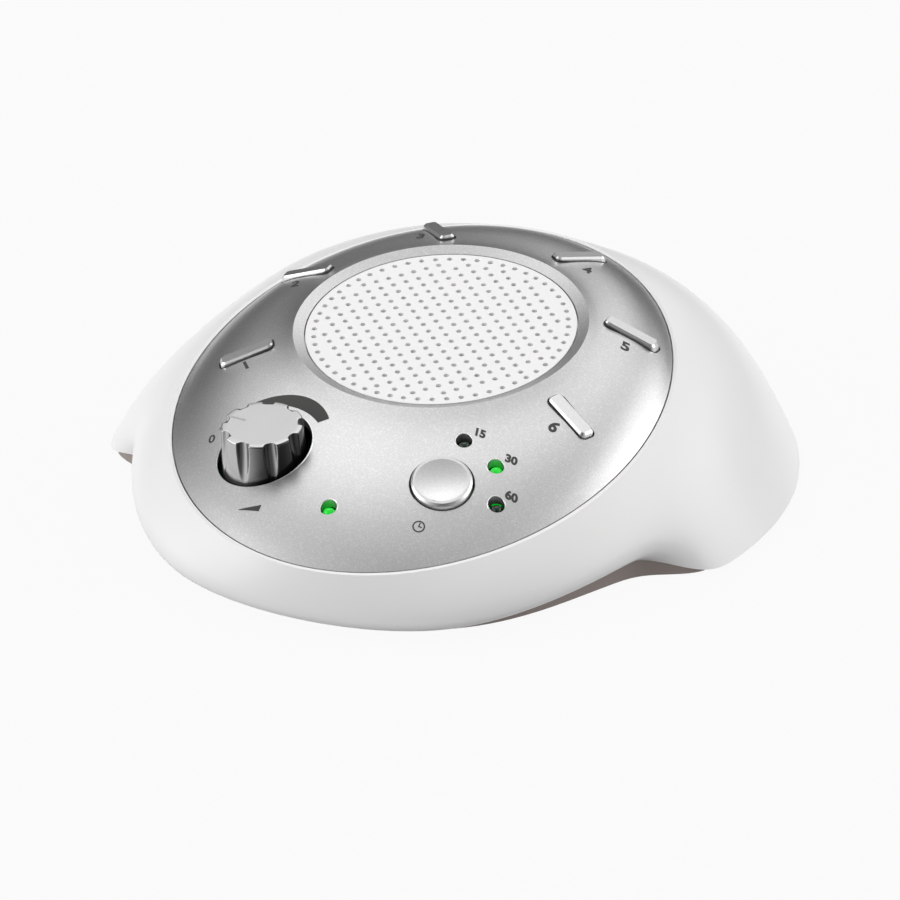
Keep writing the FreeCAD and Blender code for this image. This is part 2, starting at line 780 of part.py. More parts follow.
def light(x, y):
    """A small round indicator light on two leads."""
    top = panel_at(x, y) - LED_SINK
    dome_z = top - LED_R
    collar_z = -BOARD_TOP + LED_STANDOFF
    body = disc(LED_R, collar_z, dome_z, x, y)
    body = body.fuse(Part.makeSphere(LED_R, V(x, y, dome_z)))
    body = body.fuse(disc(LED_FLANGE_R, collar_z, collar_z + LED_FLANGE_T, x, y))
    for side in (-1, 1):
        lead = disc(LEAD_R, -BOARD_TOP - BOARD_T - LED_STANDOFF, dome_z, x + side * LEAD_SPACING, y)
        body = body.fuse(lead)
    return body


def sound_chip():
    half = CHIP_SIZE / 2
    low = SEAT_GAP - BOARD_TOP
    return block(-half, half, CHIP_Y - half, CHIP_Y + half, low, low + CHIP_H)


def capacitors():
    top = -BOARD_TOP - BOARD_T - SEAT_GAP
    cans = []
    for side in (-1, 1):
        can = disc(CAN_R, top - CAN_H, top, side * CAN_X, CAN_Y)
        low_edges = [e for e in can.Edges if e.BoundBox.ZMax < top - CAN_H / 2]
        cans.append(can.makeChamfer(EDGE_BREAK, low_edges))
    return Part.makeCompound(cans)


def small_screw(x, y, seat, head_r):
    """A screw driven upwards, with its head under the given seat height."""
    head = disc(head_r, seat - SMALL_HEAD_H, seat, x, y)
    shank = disc(SMALL_SCREW_R, seat, seat + BOARD_T + SMALL_BITE - EDGE_BREAK, x, y)
    return head.fuse(shank)


def board_screws():
    seat = -BOARD_TOP - BOARD_T - SEAT_GAP
    return Part.makeCompound([small_screw(x, y, seat, SMALL_HEAD_R) for x, y in BOARD_POSTS])


def flange_top():
    return -SEAT_BOTTOM - GASKET_T - 2 * SEAT_GAP


def speaker_gasket():
    top = -SEAT_BOTTOM - SEAT_GAP
    return tube(GASKET_OUT_R, GASKET_IN_R, top - GASKET_T, top)


def speaker_frame():
    top = flange_top()
    low = top - SPEAKER_FLANGE_T
    foot = -BASKET_FOOT
    profile = [
        (CONE_EDGE_R, top),
        (SPEAKER_R, top),
        (SPEAKER_R, low),
        (BASKET_TOP_R + BASKET_WALL, low),
        (BASKET_FOOT_R, foot),
        (BASKET_FOOT_R, foot - BACK_PLATE_T),
        (0, foot - BACK_PLATE_T),
        (0, foot),
        (BASKET_FOOT_R - BASKET_WALL, foot),
        (CONE_EDGE_R, low),
    ]
    frame = turned(profile)
    half_w = BASKET_FOOT_R / 2
    near = BASKET_FOOT_R + BASKET_WALL
    window = block(near, SPEAKER_R, -half_w, half_w, foot + BASKET_WALL, low - BASKET_WALL)
    for k in range(4):
        frame = frame.cut(placed(window, 0, 0, 90 * k))
    return frame


def speaker_magnet():
    top = -BASKET_FOOT - BACK_PLATE_T - SEAT_GAP
    magnet = disc(MAGNET_R, -MAGNET_FOOT, top)
    return magnet.makeChamfer(EDGE_BREAK, [e for e in magnet.Edges if e.Length > MAGNET_R * 3])


def speaker_cone():
    rim = flange_top() + SEAT_GAP
    roll = (CONE_RIM_R - CONE_EDGE_R) / 2
    edge_r = CONE_EDGE_R - CONE_T
    fold_r = edge_r - 2 * roll
    throat = -CONE_THROAT
    profile = [
        (CONE_RIM_R, rim),
        (CONE_RIM_R, rim + CONE_T),
        (edge_r, rim + CONE_T),
        (edge_r - roll, rim + CONE_T + roll / 4),
        (fold_r, rim),
        (CONE_THROAT_R, throat + CONE_T),
        (CONE_THROAT_R / 2, throat + CONE_T + CONE_CAP_RISE),
        (0, throat + 2 * CONE_T + CONE_CAP_RISE),
        (0, throat + CONE_CAP_RISE),
        (CONE_THROAT_R / 2, throat + CONE_CAP_RISE),
        (CONE_THROAT_R, throat),
        (fold_r, rim - CONE_T),
        (edge_r - roll, rim - CONE_T / 2 + roll / 4),
        (edge_r, rim),
    ]
    return turned(profile)


def speaker_screws():
    seat = flange_top() - SPEAKER_FLANGE_T - SEAT_GAP
    screws = []
    for x, y in speaker_screw_spots():
        head = disc(SPEAKER_HEAD_R, seat - SMALL_HEAD_H, seat, x, y)
        shank = disc(SMALL_SCREW_R, seat, seat + SMALL_BITE - EDGE_BREAK, x, y)
        screws.append(head.fuse(shank))
    return Part.makeCompound(screws)


def pan_shell():
    """A floor whose outer band follows the housing's wavy edge, and ducks inside it at the wings."""

    def inset(angle):
        rise = edge_height(angle) - JOINT_GAP - PAN_Z
        share = min(max((rise - EDGE_BREAK) / EDGE_BREAK, 0), 1)
        return PAN_INSET + (PAN_WING_INSET - PAN_INSET) * (1 - share)

    def top(angle):
        return max(edge_height(angle) - JOINT_GAP, PAN_Z + EDGE_BREAK)

    low = edge_ring(inset, lambda angle: PAN_Z)
    high = edge_ring(inset, top)
    inner = edge_ring(lambda angle: inset(angle) + PAN_BAND_W, top)
    floor = edge_ring(lambda angle: inset(angle) + PAN_FLOOR_INSET, lambda angle: PAN_Z + PAN_T)
    faces = [Part.Face(low)] + band(low, high) + band(high, inner) + band(inner, floor)
    return closed(faces + [Part.Face(floor)])


def stiffener(x, y):
    """A low rib from the battery bay's side to a screw pillar."""
    start_x = BAY_HALF_W if x > 0 else -BAY_HALF_W
    start_y = min(max(y, BAY_FRONT), BAY_BACK)
    length = math.hypot(x - start_x, y - start_y)
    rib = block(0, length, -BAY_WALL / 2, BAY_WALL / 2, PAN_Z + PAN_T / 2, SCREW_SEAT_Z)
    return placed(rib, start_x, start_y, math.degrees(math.atan2(y - start_y, x - start_x)))


def base_pan():
    shape = pan_shell()
    floor_top = PAN_Z + PAN_T
    bay_out = BAY_HALF_W + BAY_WALL
    bay_top = BAY_ROOF_Z + BAY_WALL
    root = PAN_Z + PAN_T / 2
    front = BAY_FRONT - BAY_WALL
    back = BAY_BACK + BAY_WALL
    added = [block(-bay_out, bay_out, front, back, root, bay_top)]
    for x, y in mirrored_spots(CASE_POSTS):
        added.append(stiffener(x, y))
        added.append(disc(PILLAR_R, root, PILLAR_TOP, x, y))
    jack_low = JACK_Z - JACK_H / 2 - SEAT_GAP
    jack_back = JACK_FLOOR_Y - JACK_FLOOR_T - SEAT_GAP
    jack_front = jack_back - JACK_L
    added.append(block(-JACK_W / 2, JACK_W / 2, jack_front, jack_back, root, jack_low))
    for piece in added:
        shape = shape.fuse(piece)
    cuts = [block(-BAY_HALF_W, BAY_HALF_W, BAY_FRONT, BAY_BACK, 0, BAY_ROOF_Z)]
    for x, y in mirrored_spots(CASE_POSTS):
        cuts.append(disc(SCREW_RECESS_R, 0, SCREW_SEAT_Z, x, y))
        cuts.append(disc(SCREW_CLEAR_R, 0, PILLAR_TOP, x, y))
    cuts += [disc(FOOT_R + FOOT_GAP, 0, FOOT_H + SEAT_GAP, x, y) for x, y in mirrored_spots(FOOT_SPOTS)]
    pin_reach = BAY_HALF_W + DOOR_PIN_L + DOOR_GAP
    pin_y, pin_z = door_axis()
    pin_hole_r = DOOR_PIN_R + 2 * SEAT_GAP
    cuts.append(Part.makeCylinder(pin_hole_r, 2 * pin_reach, V(-pin_reach, pin_y, pin_z), V(1, 0, 0)))
    notch = LATCH_HALF_W + DOOR_GAP
    cuts.append(block(-notch, notch, BAY_BACK - BAY_WALL, BAY_BACK + LATCH_NOTCH, 0, floor_top))
    nib_top = floor_top + LATCH_H - LATCH_T + DOOR_GAP
    nib_low = nib_top - LATCH_T - 2 * DOOR_GAP
    nib_y = BAY_BACK + LATCH_NIB + DOOR_GAP / 2
    cuts.append(block(-notch, notch, BAY_BACK - BAY_WALL, nib_y, nib_low, nib_top))
    for cut in cuts:
        shape = shape.cut(cut)
    cradle_low = BAY_ROOF_Z - CRADLE_H
    cradle_top = BAY_ROOF_Z + BAY_WALL / 2
    for step in (-1, 0, 1):
        x = step * CELL_PITCH - CRADLE_T / 2
        shape = shape.fuse(block(x, x + CRADLE_T, front, back, cradle_low, cradle_top))
    return shape


def door_axis():
    """The hinge line of the battery door: its y and z."""
    return BAY_FRONT + DOOR_GAP + DOOR_T / 2, PAN_Z + DOOR_T / 2


def battery_door():
    pin_y, pin_z = door_axis()
    half_w = BAY_HALF_W - DOOR_GAP
    end_y = BAY_BACK - DOOR_GAP
    plate = block(-half_w, half_w, pin_y, end_y, PAN_Z, PAN_Z + DOOR_T)
    roll = Part.makeCylinder(DOOR_T / 2, 2 * half_w, V(-half_w, pin_y, pin_z), V(1, 0, 0))
    pin_reach = half_w + DOOR_GAP + DOOR_PIN_L
    pin = Part.makeCylinder(DOOR_PIN_R, 2 * pin_reach, V(-pin_reach, pin_y, pin_z), V(1, 0, 0))
    top = PAN_Z + DOOR_T
    latch = block(-LATCH_HALF_W, LATCH_HALF_W, end_y - LATCH_T, end_y, PAN_Z, top + LATCH_H)
    nib_z = top + LATCH_H - LATCH_T
    nib_y = BAY_BACK + LATCH_NIB
    lift_y = BAY_BACK + LATCH_NOTCH - DOOR_GAP
    half = LATCH_HALF_W
    nib = block(-half, half, end_y - LATCH_T / 2, nib_y, nib_z - LATCH_T, nib_z)
    lift = block(-half, half, end_y - LATCH_T, lift_y, PAN_Z, PAN_Z + DOOR_T / 2)
    shape = plate.fuse(roll).fuse(pin).fuse(latch).fuse(nib).fuse(lift)
    for step in (-1, 1):
        x = step * CELL_PITCH - CRADLE_T / 2
        rib_end = end_y - DOOR_T
        rib = block(x, x + CRADLE_T, pin_y + DOOR_T, rib_end, top - DOOR_T / 2, top + CRADLE_T)
        shape = shape.fuse(rib)
    return shape.removeSplitter()


def rubber_feet():
    feet = []
    for x, y in mirrored_spots(FOOT_SPOTS):
        foot = disc(FOOT_R, 0, FOOT_H, x, y)
        low = [e for e in foot.Edges if e.BoundBox.ZMax < FOOT_H / 2]
        feet.append(foot.makeChamfer(EDGE_BREAK, low))
    return Part.makeCompound(feet)


def housing_screws():
    screws = []
    for x, y in mirrored_spots(CASE_POSTS):
        seat = SCREW_SEAT_Z - SEAT_GAP
        head = disc(SCREW_HEAD_R, seat - SCREW_HEAD_H, seat, x, y)
        shank = disc(SCREW_R, seat, SCREW_TIP_Z - SEAT_GAP, x, y)
        screws.append(head.fuse(shank))
    return Part.makeCompound(screws)




def contact_plates():
    """Front plates join the cells in pairs; the back has one pair and two single plates."""
    front_y = BAY_FRONT + SEAT_GAP
    back_y = BAY_BACK - SEAT_GAP - CONTACT_T
    plates = []
    for first, last, y in (
        (0, 1, front_y),
        (2, 3, front_y),
        (0, 0, back_y),
        (1, 2, back_y),
        (3, 3, back_y),
    ):
        x0 = CELL_SHARES[first] * CELL_PITCH - CONTACT_HALF_W
        x1 = CELL_SHARES[last] * CELL_PITCH + CONTACT_HALF_W
        low = CONTACT_LOW if first == last or y == front_y else 3 * CONTACT_LOW / 2
        plates.append(block(x0, x1, y, y + CONTACT_T, low, CONTACT_HIGH))
    return Part.makeCompound(plates)


def wire_loop(centre, out, up):
    """The outline of a wire's section around a point, in the plane of two directions."""
    corners = []
    for k in range(WIRE_SIDES + 1):
        across, along = polar(SPRING_WIRE_R, 360.0 * k / WIRE_SIDES)
        corners.append(centre + out * across + up * along)
    return Part.makePolygon(corners)


def spring(x, y, way):
    """A conical coil of wire whose wide end stands on a contact plate."""
    steps = SPRING_TURNS * SPRING_STEPS
    loops = []
    for i in range(steps + 1):
        share = i / steps
        out = V(*polar(1, 360.0 * i / SPRING_STEPS), 0)
        radius = SPRING_R + (SPRING_TIP_R - SPRING_R) * share
        loops.append(wire_loop(out * radius + V(0, 0, SPRING_L * share), out, V(0, 0, 1)))
    coil = Part.makeLoft(loops, True, True)
    coil.rotate(V(0, 0, 0), V(1, 0, 0), -90 * way)
    coil.translate(V(x, y, (CONTACT_LOW + CONTACT_HIGH) / 2))
    return coil


def battery_springs():
    springs = []
    lift = CONTACT_T + SPRING_WIRE_R + 3 * SEAT_GAP
    for k, share in enumerate(CELL_SHARES):
        front = k % 2 == 0
        y = BAY_FRONT + lift if front else BAY_BACK - lift
        springs.append(spring(share * CELL_PITCH, y, 1 if front else -1))
    return Part.makeCompound(springs)


def dc_jack():
    face_y = JACK_FLOOR_Y - JACK_FLOOR_T - SEAT_GAP
    half_w = JACK_W / 2
    half_h = JACK_H / 2
    body = block(-half_w, half_w, face_y - JACK_L, face_y, JACK_Z - half_h, JACK_Z + half_h)
    body = body.makeFillet(JACK_CORNER, body.Edges)
    nose_y = JACK_FLOOR_Y - SEAT_GAP
    nose = along_y(JACK_NOSE_R, face_y - JACK_CORNER, nose_y, JACK_Z)
    body = body.fuse(nose)
    return body.cut(along_y(JACK_BORE_R, nose_y - JACK_BORE_L, nose_y + JACK_BORE_L, JACK_Z))


def dc_jack_pin():
    low = JACK_FLOOR_Y - JACK_BORE_L
    pin = along_y(JACK_PIN_R, low, JACK_FLOOR_Y - JACK_PIN_R, JACK_Z)
    tip = max(pin.Edges, key=lambda e: e.BoundBox.YMin)
    return pin.makeChamfer(JACK_PIN_R / 3, [tip])


def export_all():
    os.makedirs("parts", exist_ok=True)
    nodes = {
        "upper_housing": upper_housing(),
        "base_pan": base_pan(),
        "battery_door": battery_door(),
        "rubber_feet": rubber_feet(),
        "housing_screws": housing_screws(),
        "contact_plates": contact_plates(),
        "battery_springs": battery_springs(),
        "dc_jack": dc_jack(),
        "dc_jack_pin": dc_jack_pin(),
    }
    deck_nodes = {
        "face_panel": face_panel(),
        "speaker_grille": speaker_grille(),
        "speaker_gasket": speaker_gasket(),
        "speaker_frame": speaker_frame(),
        "speaker_magnet": speaker_magnet(),
        "speaker_cone": speaker_cone(),
        "speaker_screws": speaker_screws(),
        "main_board": main_board(),
        "board_screws": board_screws(),
        "tact_switches": tact_switches(),
        "sound_chip": sound_chip(),
        "capacitors": capacitors(),
        "volume_knob": volume_knob(),
        "volume_shaft": volume_shaft(),
        "volume_control": volume_control(),
        "timer_button": timer_button(),
    }
    for name, (x, y) in led_spots().items():
        deck_nodes[name] = light(x, y)
    for name, spot in SOUND_BUTTONS.items():
        deck_nodes[name + "_button"] = sound_button(*spot)
    for name, spot in switch_spots().items():
        deck_nodes[name + "_plunger"] = switch_plunger(*spot)
    for name, shape in deck_nodes.items():
        nodes[name] = on_deck(shape)
    for name, shape in nodes.items():
        shape.translate(V(0, POLE_Y, 0))
        shape.exportStep("parts/" + name + ".step")


export_all()
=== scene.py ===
import math

import bpy
import numpy as np
from mathutils import Matrix, Vector
from mathutils.bvhtree import BVHTree


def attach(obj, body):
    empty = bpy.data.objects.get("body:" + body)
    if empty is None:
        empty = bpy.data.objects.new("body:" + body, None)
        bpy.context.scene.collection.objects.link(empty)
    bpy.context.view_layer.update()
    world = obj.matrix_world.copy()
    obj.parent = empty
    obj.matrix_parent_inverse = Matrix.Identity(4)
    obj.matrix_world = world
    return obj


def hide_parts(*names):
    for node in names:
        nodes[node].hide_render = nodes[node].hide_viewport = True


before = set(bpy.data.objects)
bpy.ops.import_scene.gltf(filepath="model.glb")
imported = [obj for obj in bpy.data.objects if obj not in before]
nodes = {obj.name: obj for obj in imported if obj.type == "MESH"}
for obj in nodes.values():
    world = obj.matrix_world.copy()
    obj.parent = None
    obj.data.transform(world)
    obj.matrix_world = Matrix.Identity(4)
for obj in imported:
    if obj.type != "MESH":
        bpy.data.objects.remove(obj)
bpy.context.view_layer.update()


# The studio: the machine stands on a white table under soft light, seen from the front right
# through a long lens. The table's white goes on past the edges of the picture.
scene = bpy.context.scene
lens = bpy.data.cameras.new("camera")
lens.lens = 200.0
lens.sensor_width = 36.0
lens.clip_start = 0.05
lens.clip_end = 20.0
camera = bpy.data.objects.new("camera", lens)
camera.location = (0.4205, -0.9749, 0.5539)
camera.rotation_euler = Vector((0.35159, -0.81537, 0.45995)).to_track_quat("Z", "Y").to_euler()
scene.collection.objects.link(camera)
scene.camera = camera
scene.view_settings.view_transform = "Standard"


# The sky: soft grey light, dimmer in front and nearly dark low down behind. Two bright panels
# stand at the left and the right and one hangs above, with two dimmer patches between them.
class Value:
    """A socket of a node tree. Arithmetic on it makes Math nodes in the same tree."""

    def __init__(self, tree, socket):
        self.tree = tree
        self.socket = socket

    def node(self, kind, inputs=(), out=0, **settings):
        """Any other node of this tree: its inputs by name or number, and one of its outputs."""
        made = self.tree.nodes.new(kind)
        for key, value in settings.items():
            setattr(made, key, value)
        for key, value in dict(inputs).items():
            if isinstance(value, Value):
                self.tree.links.new(value.socket, made.inputs[key])
            else:
                made.inputs[key].default_value = value
        return Value(self.tree, made.outputs[out])

    def math(self, operation, other=0.0):
        """A Math node on this value and, where the operation takes two, another one."""
        return self.node("ShaderNodeMath", {0: self, 1: other}, operation=operation)

    def __add__(self, other):
        return self.math("ADD", other)

    def __sub__(self, other):
        return self.math("SUBTRACT", other)

    def __rsub__(self, other):
        return self.node("ShaderNodeMath", {0: other, 1: self}, operation="SUBTRACT")

    def __mul__(self, other):
        return self.math("MULTIPLY", other)

    __radd__ = __add__
    __rmul__ = __mul__

    def step(self, low, high):
        """0 below low, 1 above high, and a smooth change between them."""
        inputs = {"Value": self, "From Min": low, "From Max": high}
        return self.node("ShaderNodeMapRange", inputs, interpolation_type="SMOOTHSTEP")

    def blend(self, low, high):
        """A colour that goes from low to high as this value goes from 0 to 1."""
        inputs = {0: self, 6: low, 7: high}
        return self.node("ShaderNodeMix", inputs, out=2, data_type="RGBA")

    def along(self, axis):
        """One number of this vector: 0 for x, 1 for y and 2 for z."""
        return self.node("ShaderNodeSeparateXYZ", {0: self}, out=axis)

    def dot(self, direction):
        """How far this vector reaches along a direction."""
        inputs = {0: self, 1: direction}
        return self.node("ShaderNodeVectorMath", inputs, out=1, operation="DOT_PRODUCT")


world = bpy.data.worlds.new("studio_light")
scene.world = world
world.use_nodes = True
backdrop = world.node_tree.nodes["Background"]
skyward = Value(world.node_tree, backdrop.outputs[0]).node("ShaderNodeTexCoord", out="Generated")


def glow(direction, start, full):
    """A round patch of the sky: 1 where the cosine of the angle to a direction is over full, and
    0 where it is under start."""
    return skyward.dot(direction).step(start, full)


backward = skyward.along(1)
upward = skyward.along(2)
in_front = (0 - backward).step(0.0, 0.8)
low_behind = backward.step(0.10, 0.55) * (1 - upward.step(0.24, 0.66))
panel_above = 0.86 * glow((-0.29, 0.60, 0.74), 0.80, 0.98)
panel_left = 2.75 * glow((-0.74, -0.66, 0.12), 0.52, 1.0)
panel_right = 2.40 * glow((0.84, 0.52, 0.15), 0.62, 1.0)
patch_behind = 1 - 0.8 * glow((-0.60, 0.68, 0.42), 0.86, 0.99)
patch_left = 1 - 0.5 * glow((-0.88, 0.22, 0.41), 0.88, 0.99)
sky = (0.66 - 0.58 * in_front) * (1 - 0.96 * low_behind)
sky = (sky + panel_above + panel_left + panel_right) * patch_behind * patch_left
world.node_tree.links.new(sky.socket, backdrop.inputs["Strength"])
backdrop.inputs["Color"].default_value = (1, 1, 1, 1)


# The table: one wide flat sheet. The camera and shiny faces see it as plain white light, and soft
# light comes back from it as from a mid grey, which keeps the machine's undersides dark.
def grey(level, warm=0.0):
    """A grey as linear light, with red raised and blue lowered by a share where it is warm."""
    return (level * (1 + warm), level, level * (1 - warm), 1.0)


def surface(name, **constants):
    """A material, its Principled shader with plain settings by name, and the point on the
    piece in millimetres."""
    made = bpy.data.materials.new(name)
    made.use_nodes = True
    shader = made.node_tree.nodes["Principled BSDF"]
    for key, value in constants.items():
        shader.inputs[key.replace("_", " ")].default_value = value
    place = Value(made.node_tree, shader.outputs[0]).node("ShaderNodeTexCoord", out="Object")
    millimetres = {0: place, 1: (1000, 1000, 1000)}
    point = place.node("ShaderNodeVectorMath", millimetres, operation="MULTIPLY")
    return made, shader, point


table_half = 6
table_corners = [(-1, -1, 0), (1, -1, 0), (1, 1, 0), (-1, 1, 0)]
table = bpy.data.meshes.new("table_top")
table.from_pydata([Vector(corner) * table_half for corner in table_corners], [], [(0, 1, 2, 3)])
table_top = bpy.data.objects.new("table_top", table)
scene.collection.objects.link(table_top)
table_white, table_shader, _ = surface("table_white", Base_Color=grey(0.3), Roughness=0.8)
table.materials.append(table_white)
matt = Value(table_white.node_tree, table_shader.outputs[0])
plain = matt.node("ShaderNodeEmission", {"Color": (1, 1, 1, 1), "Strength": 1.0})
camera_ray = matt.node("ShaderNodeLightPath", out="Is Camera Ray")
glossy_ray = matt.node("ShaderNodeLightPath", out="Is Glossy Ray")
through_ray = matt.node("ShaderNodeLightPath", out="Is Transmission Ray")
any_ray = camera_ray + glossy_ray + through_ray
plain_share = 0.94 * any_ray.math("MINIMUM", 1.0)
mixed = matt.node("ShaderNodeMixShader", {0: plain_share, 1: matt, 2: plain})
table_end = table_white.node_tree.nodes["Material Output"]
table_white.node_tree.links.new(mixed.socket, table_end.inputs["Surface"])


# The lamp and the cards: a square softbox hangs above, behind and to the left. Two black cards
# stand on the table beyond the picture's edges, one behind the machine and one in front.
def lamp(name, place, aim, size, power):
    """A square softbox at a place, turned to the point it is aimed at."""
    light = bpy.data.lights.new(name, "AREA")
    light.size = size
    light.energy = power
    box = bpy.data.objects.new(name, light)
    box.location = place
    box.rotation_euler = (Vector(place) - Vector(aim)).to_track_quat("Z", "Y").to_euler()
    scene.collection.objects.link(box)


lamp("softbox_above", place=(-0.40, 0.50, 0.85), aim=(0, 0, 0), size=0.60, power=0.75)


def dark_card(name, corners):
    """A black card that only shiny surfaces see, so it darkens their edges and leaves the soft
    light alone."""
    mesh = bpy.data.meshes.new(name)
    mesh.from_pydata(corners, [], [(0, 1, 2, 3)])
    black, _, _ = surface(name, Base_Color=grey(0.02), Roughness=0.9)
    mesh.materials.append(black)
    card = bpy.data.objects.new(name, mesh)
    card.visible_camera = False
    card.visible_diffuse = False
    card.visible_shadow = False
    scene.collection.objects.link(card)


dark_card("card_behind", [(-1.2, 0.30, 0), (0.45, 0.42, 0), (0.45, 0.42, 0.16), (-1.2, 0.30, 0.22)])
dark_card("card_in_front", [(-0.3, -0.42, 0), (0.65, -0.25, 0), (0.65, -0.25, 0.2), (-0.3, -0.42, 0.2)])


# The white housing: one thick-walled moulding in glossy white plastic. It carries the panel in
# a rebate round its mouth and is screwed to the base from below. The grille is the same plastic.
def wire_up(shader, **inputs):
    """Joins varying values to the shader's inputs by name."""
    for key, value in inputs.items():
        value.tree.links.new(value.socket, shader.inputs[key.replace("_", " ")])


def noise(point, size, detail=2.0):
    """Smooth noise from 0 to 1 whose spots are about size millimetres across."""
    inputs = {"Vector": point, "Scale": 1 / size, "Detail": detail}
    return point.node("ShaderNodeTexNoise", inputs)


def bump(height, depth):
    """A normal for a surface raised by height, 0 to 1, times depth in millimetres."""
    return height.node("ShaderNodeBump", {"Height": height, "Distance": depth / 1000, "Strength": 1.0})


def dress(material, *names):
    """Puts a material on CAD nodes, in every slot that they have."""
    for name in names:
        for holder in nodes[name].material_slots:
            holder.material = material


def white_plastic(name, level, rough):
    """White with slow clouds, a fine grain that also raises it, and a few duller scuffs."""
    made, shader, point = surface(name, Specular_IOR_Level=0.5, IOR=1.49)
    clouds = noise(point, 40.0)
    grain = noise(point, 0.35, 3.0)
    scuffs = noise(point, 3.0, 5.0).step(0.62, 0.8)
    wire_up(
        shader,
        Base_Color=clouds.blend(grey(level - 0.015, 0.004), grey(level + 0.01, 0.006)),
        Roughness=rough + 0.07 * scuffs + 0.05 * grain,
        Normal=bump(grain, 0.004),
    )
    return made


dress(white_plastic("white_housing_plastic", 0.83, 0.30), "upper_housing")
dress(white_plastic("white_grille_plastic", 0.86, 0.42), "speaker_grille")


# The control panel: a thin plastic moulding sprayed with silver paint whose flakes glitter.
# It drops into the housing's mouth, and its funnel-shaped inner edge holds the grille.
def silver_paint(name, level, rough, flake=0.11):
    """Grey metal whose tone is the sum of small cells, the flakes, and of fine and slow noise."""
    made, shader, point = surface(name, Metallic=0.93)
    flakes_per_mm = 4.2
    cells = {"Vector": point, "Scale": flakes_per_mm}
    cell_colour = point.node("ShaderNodeTexVoronoi", cells, out="Color")
    spark = point.node("ShaderNodeSeparateColor", {0: cell_colour}).step(0.55, 1.0)
    fine = noise(point, 0.22, 2.0)
    clouds = noise(point, 18.0)
    tone = 0.5 + flake * (spark - 0.3) * 3 + 0.3 * (fine - 0.5) + 0.12 * (clouds - 0.5)
    tone = tone.step(0.0, 1.0)
    wire_up(
        shader,
        Base_Color=tone.blend(grey(level * 0.82), grey(level * 1.14)),
        Roughness=rough + 0.10 * (fine - 0.5),
        Normal=bump(fine, 0.010),
    )
    return made


panel_paint = silver_paint("silver_panel_paint", 0.66, 0.34)
dress(panel_paint, "face_panel")


# The marks: dark ink printed flat on the silver panel. A wedge that grows with the volume runs
# round the knob with a small ramp in front, minutes stand beside the timer lights, a small clock
# stands in front of the timer button, and a plain number stands beside each sound button.
deck_tilt = Matrix.Rotation(math.radians(7.8), 4, "X")
deck_frame = Matrix.Translation((0, -0.005, 0.0387)) @ deck_tilt
deck_up = deck_frame.to_3x3() @ Vector((0, 0, 1))
panel_mesh = nodes["face_panel"].data
panel_faces = [list(face.vertices) for face in panel_mesh.polygons]
panel_tree = BVHTree.FromPolygons([corner.co for corner in panel_mesh.vertices], panel_faces)
ink_thickness = 0.03


def deck_points(points):
    """Deck coordinates in millimetres, one row a point, as places in the picture's frame: turned
    by the deck's tilt and moved to its middle."""
    tilt = np.array(deck_frame.to_3x3())
    return np.asarray(points) / 1000 @ tilt.T + np.array(deck_frame.translation)


def panel_heights(spots):
    """How high the panel's face stands over the deck at each (x, y), in millimetres: a ray's
    length, from a start well above, taken from that start's height."""
    start_height = 20
    found = []
    for x, y in spots:
        start = deck_frame @ (Vector((x, y, start_height)) / 1000)
        found.append(start_height - panel_tree.ray_cast(start, -deck_up)[3] * 1000)
    return np.array(found)


def on_panel(spots):
    """Each (x, y) dropped on the panel's face and raised from it by the ink's thickness."""
    spots = np.asarray(spots)
    return deck_points(np.column_stack([spots, panel_heights(spots) + ink_thickness]))


def lattice(rows, columns, wrap_rows=False, wrap_columns=False):
    """Four-sided faces between neighbours of a grid of points, counted row by row."""
    down = np.arange(rows if wrap_rows else rows - 1)[:, None]
    along = np.arange(columns if wrap_columns else columns - 1)[None, :]
    here = down * columns + along
    right = down * columns + (along + 1) % columns
    below = (down + 1) % rows * columns + along
    across = (down + 1) % rows * columns + (along + 1) % columns
    return np.stack([here, right, across, below], axis=-1).reshape(-1, 4)


def piece(name, points, faces, material, slot, body="machine"):
    """A smooth mesh piece in place, in metres, riding on a body of the machine."""
    mesh = bpy.data.meshes.new(name)
    mesh.from_pydata(np.asarray(points).reshape(-1, 3).tolist(), [], [list(face) for face in faces])
    mesh.polygons.foreach_set("use_smooth", [True] * len(mesh.polygons))
    mesh.materials.append(material)
    made = bpy.data.objects.new(name, mesh)
    scene.collection.objects.link(made)
    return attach(made, body)


def rgb(red, green, blue):
    """A colour as seen on the screen, 0 to 255, as linear light: a power curve, straight near
    black, as screens use it."""
    shown = np.array([red, green, blue]) / 255
    light = np.where(shown < 0.04045, shown / 12.92, ((shown + 0.055) / 1.055) ** 2.4)
    return (*light.tolist(), 1.0)


def ink(name, colour):
    """A dark or pale ink, worn towards dark grey in fine spots that are also duller."""
    made, shader, point = surface(name, Specular_IOR_Level=0.35)
    worn = noise(point, 0.4, 3.0)
    wire_up(shader, Base_Color=worn.blend(colour, grey(0.055)), Roughness=0.5 + 0.2 * worn)
    return made


def volume_wedge(steps_round=70, steps_across=5):
    """Spots between two circles, as radius and angle round the outer one's middle. The inner
    circle is larger and its middle is set off, so the gap between the two grows along the way."""
    x, y = (-22.2, -49.92)
    outer = 14.6
    thinnest = 0.25
    inner_radius = 17.58
    inner_x, inner_y = (-1.86, -6.37)
    turn = np.radians(np.linspace(167, 35.6, steps_round))[:, None]
    share = np.linspace(0, 1, steps_across)[None, :]
    offset = inner_x * np.cos(turn) + inner_y * np.sin(turn)
    inner = offset + np.sqrt(offset ** 2 + inner_radius ** 2 - inner_x ** 2 - inner_y ** 2)
    inner = np.minimum(inner, outer - thinnest)
    radius = outer - (outer - inner) * share
    spots = np.stack([x + radius * np.cos(turn), y + radius * np.sin(turn)], axis=-1)
    return spots.reshape(-1, 2), lattice(steps_round, steps_across)


panel_ink = ink("panel_ink", rgb(62, 63, 58))
wedge_spots, wedge_faces = volume_wedge()
piece("volume_wedge", on_panel(wedge_spots), wedge_faces, panel_ink, "face_panel")


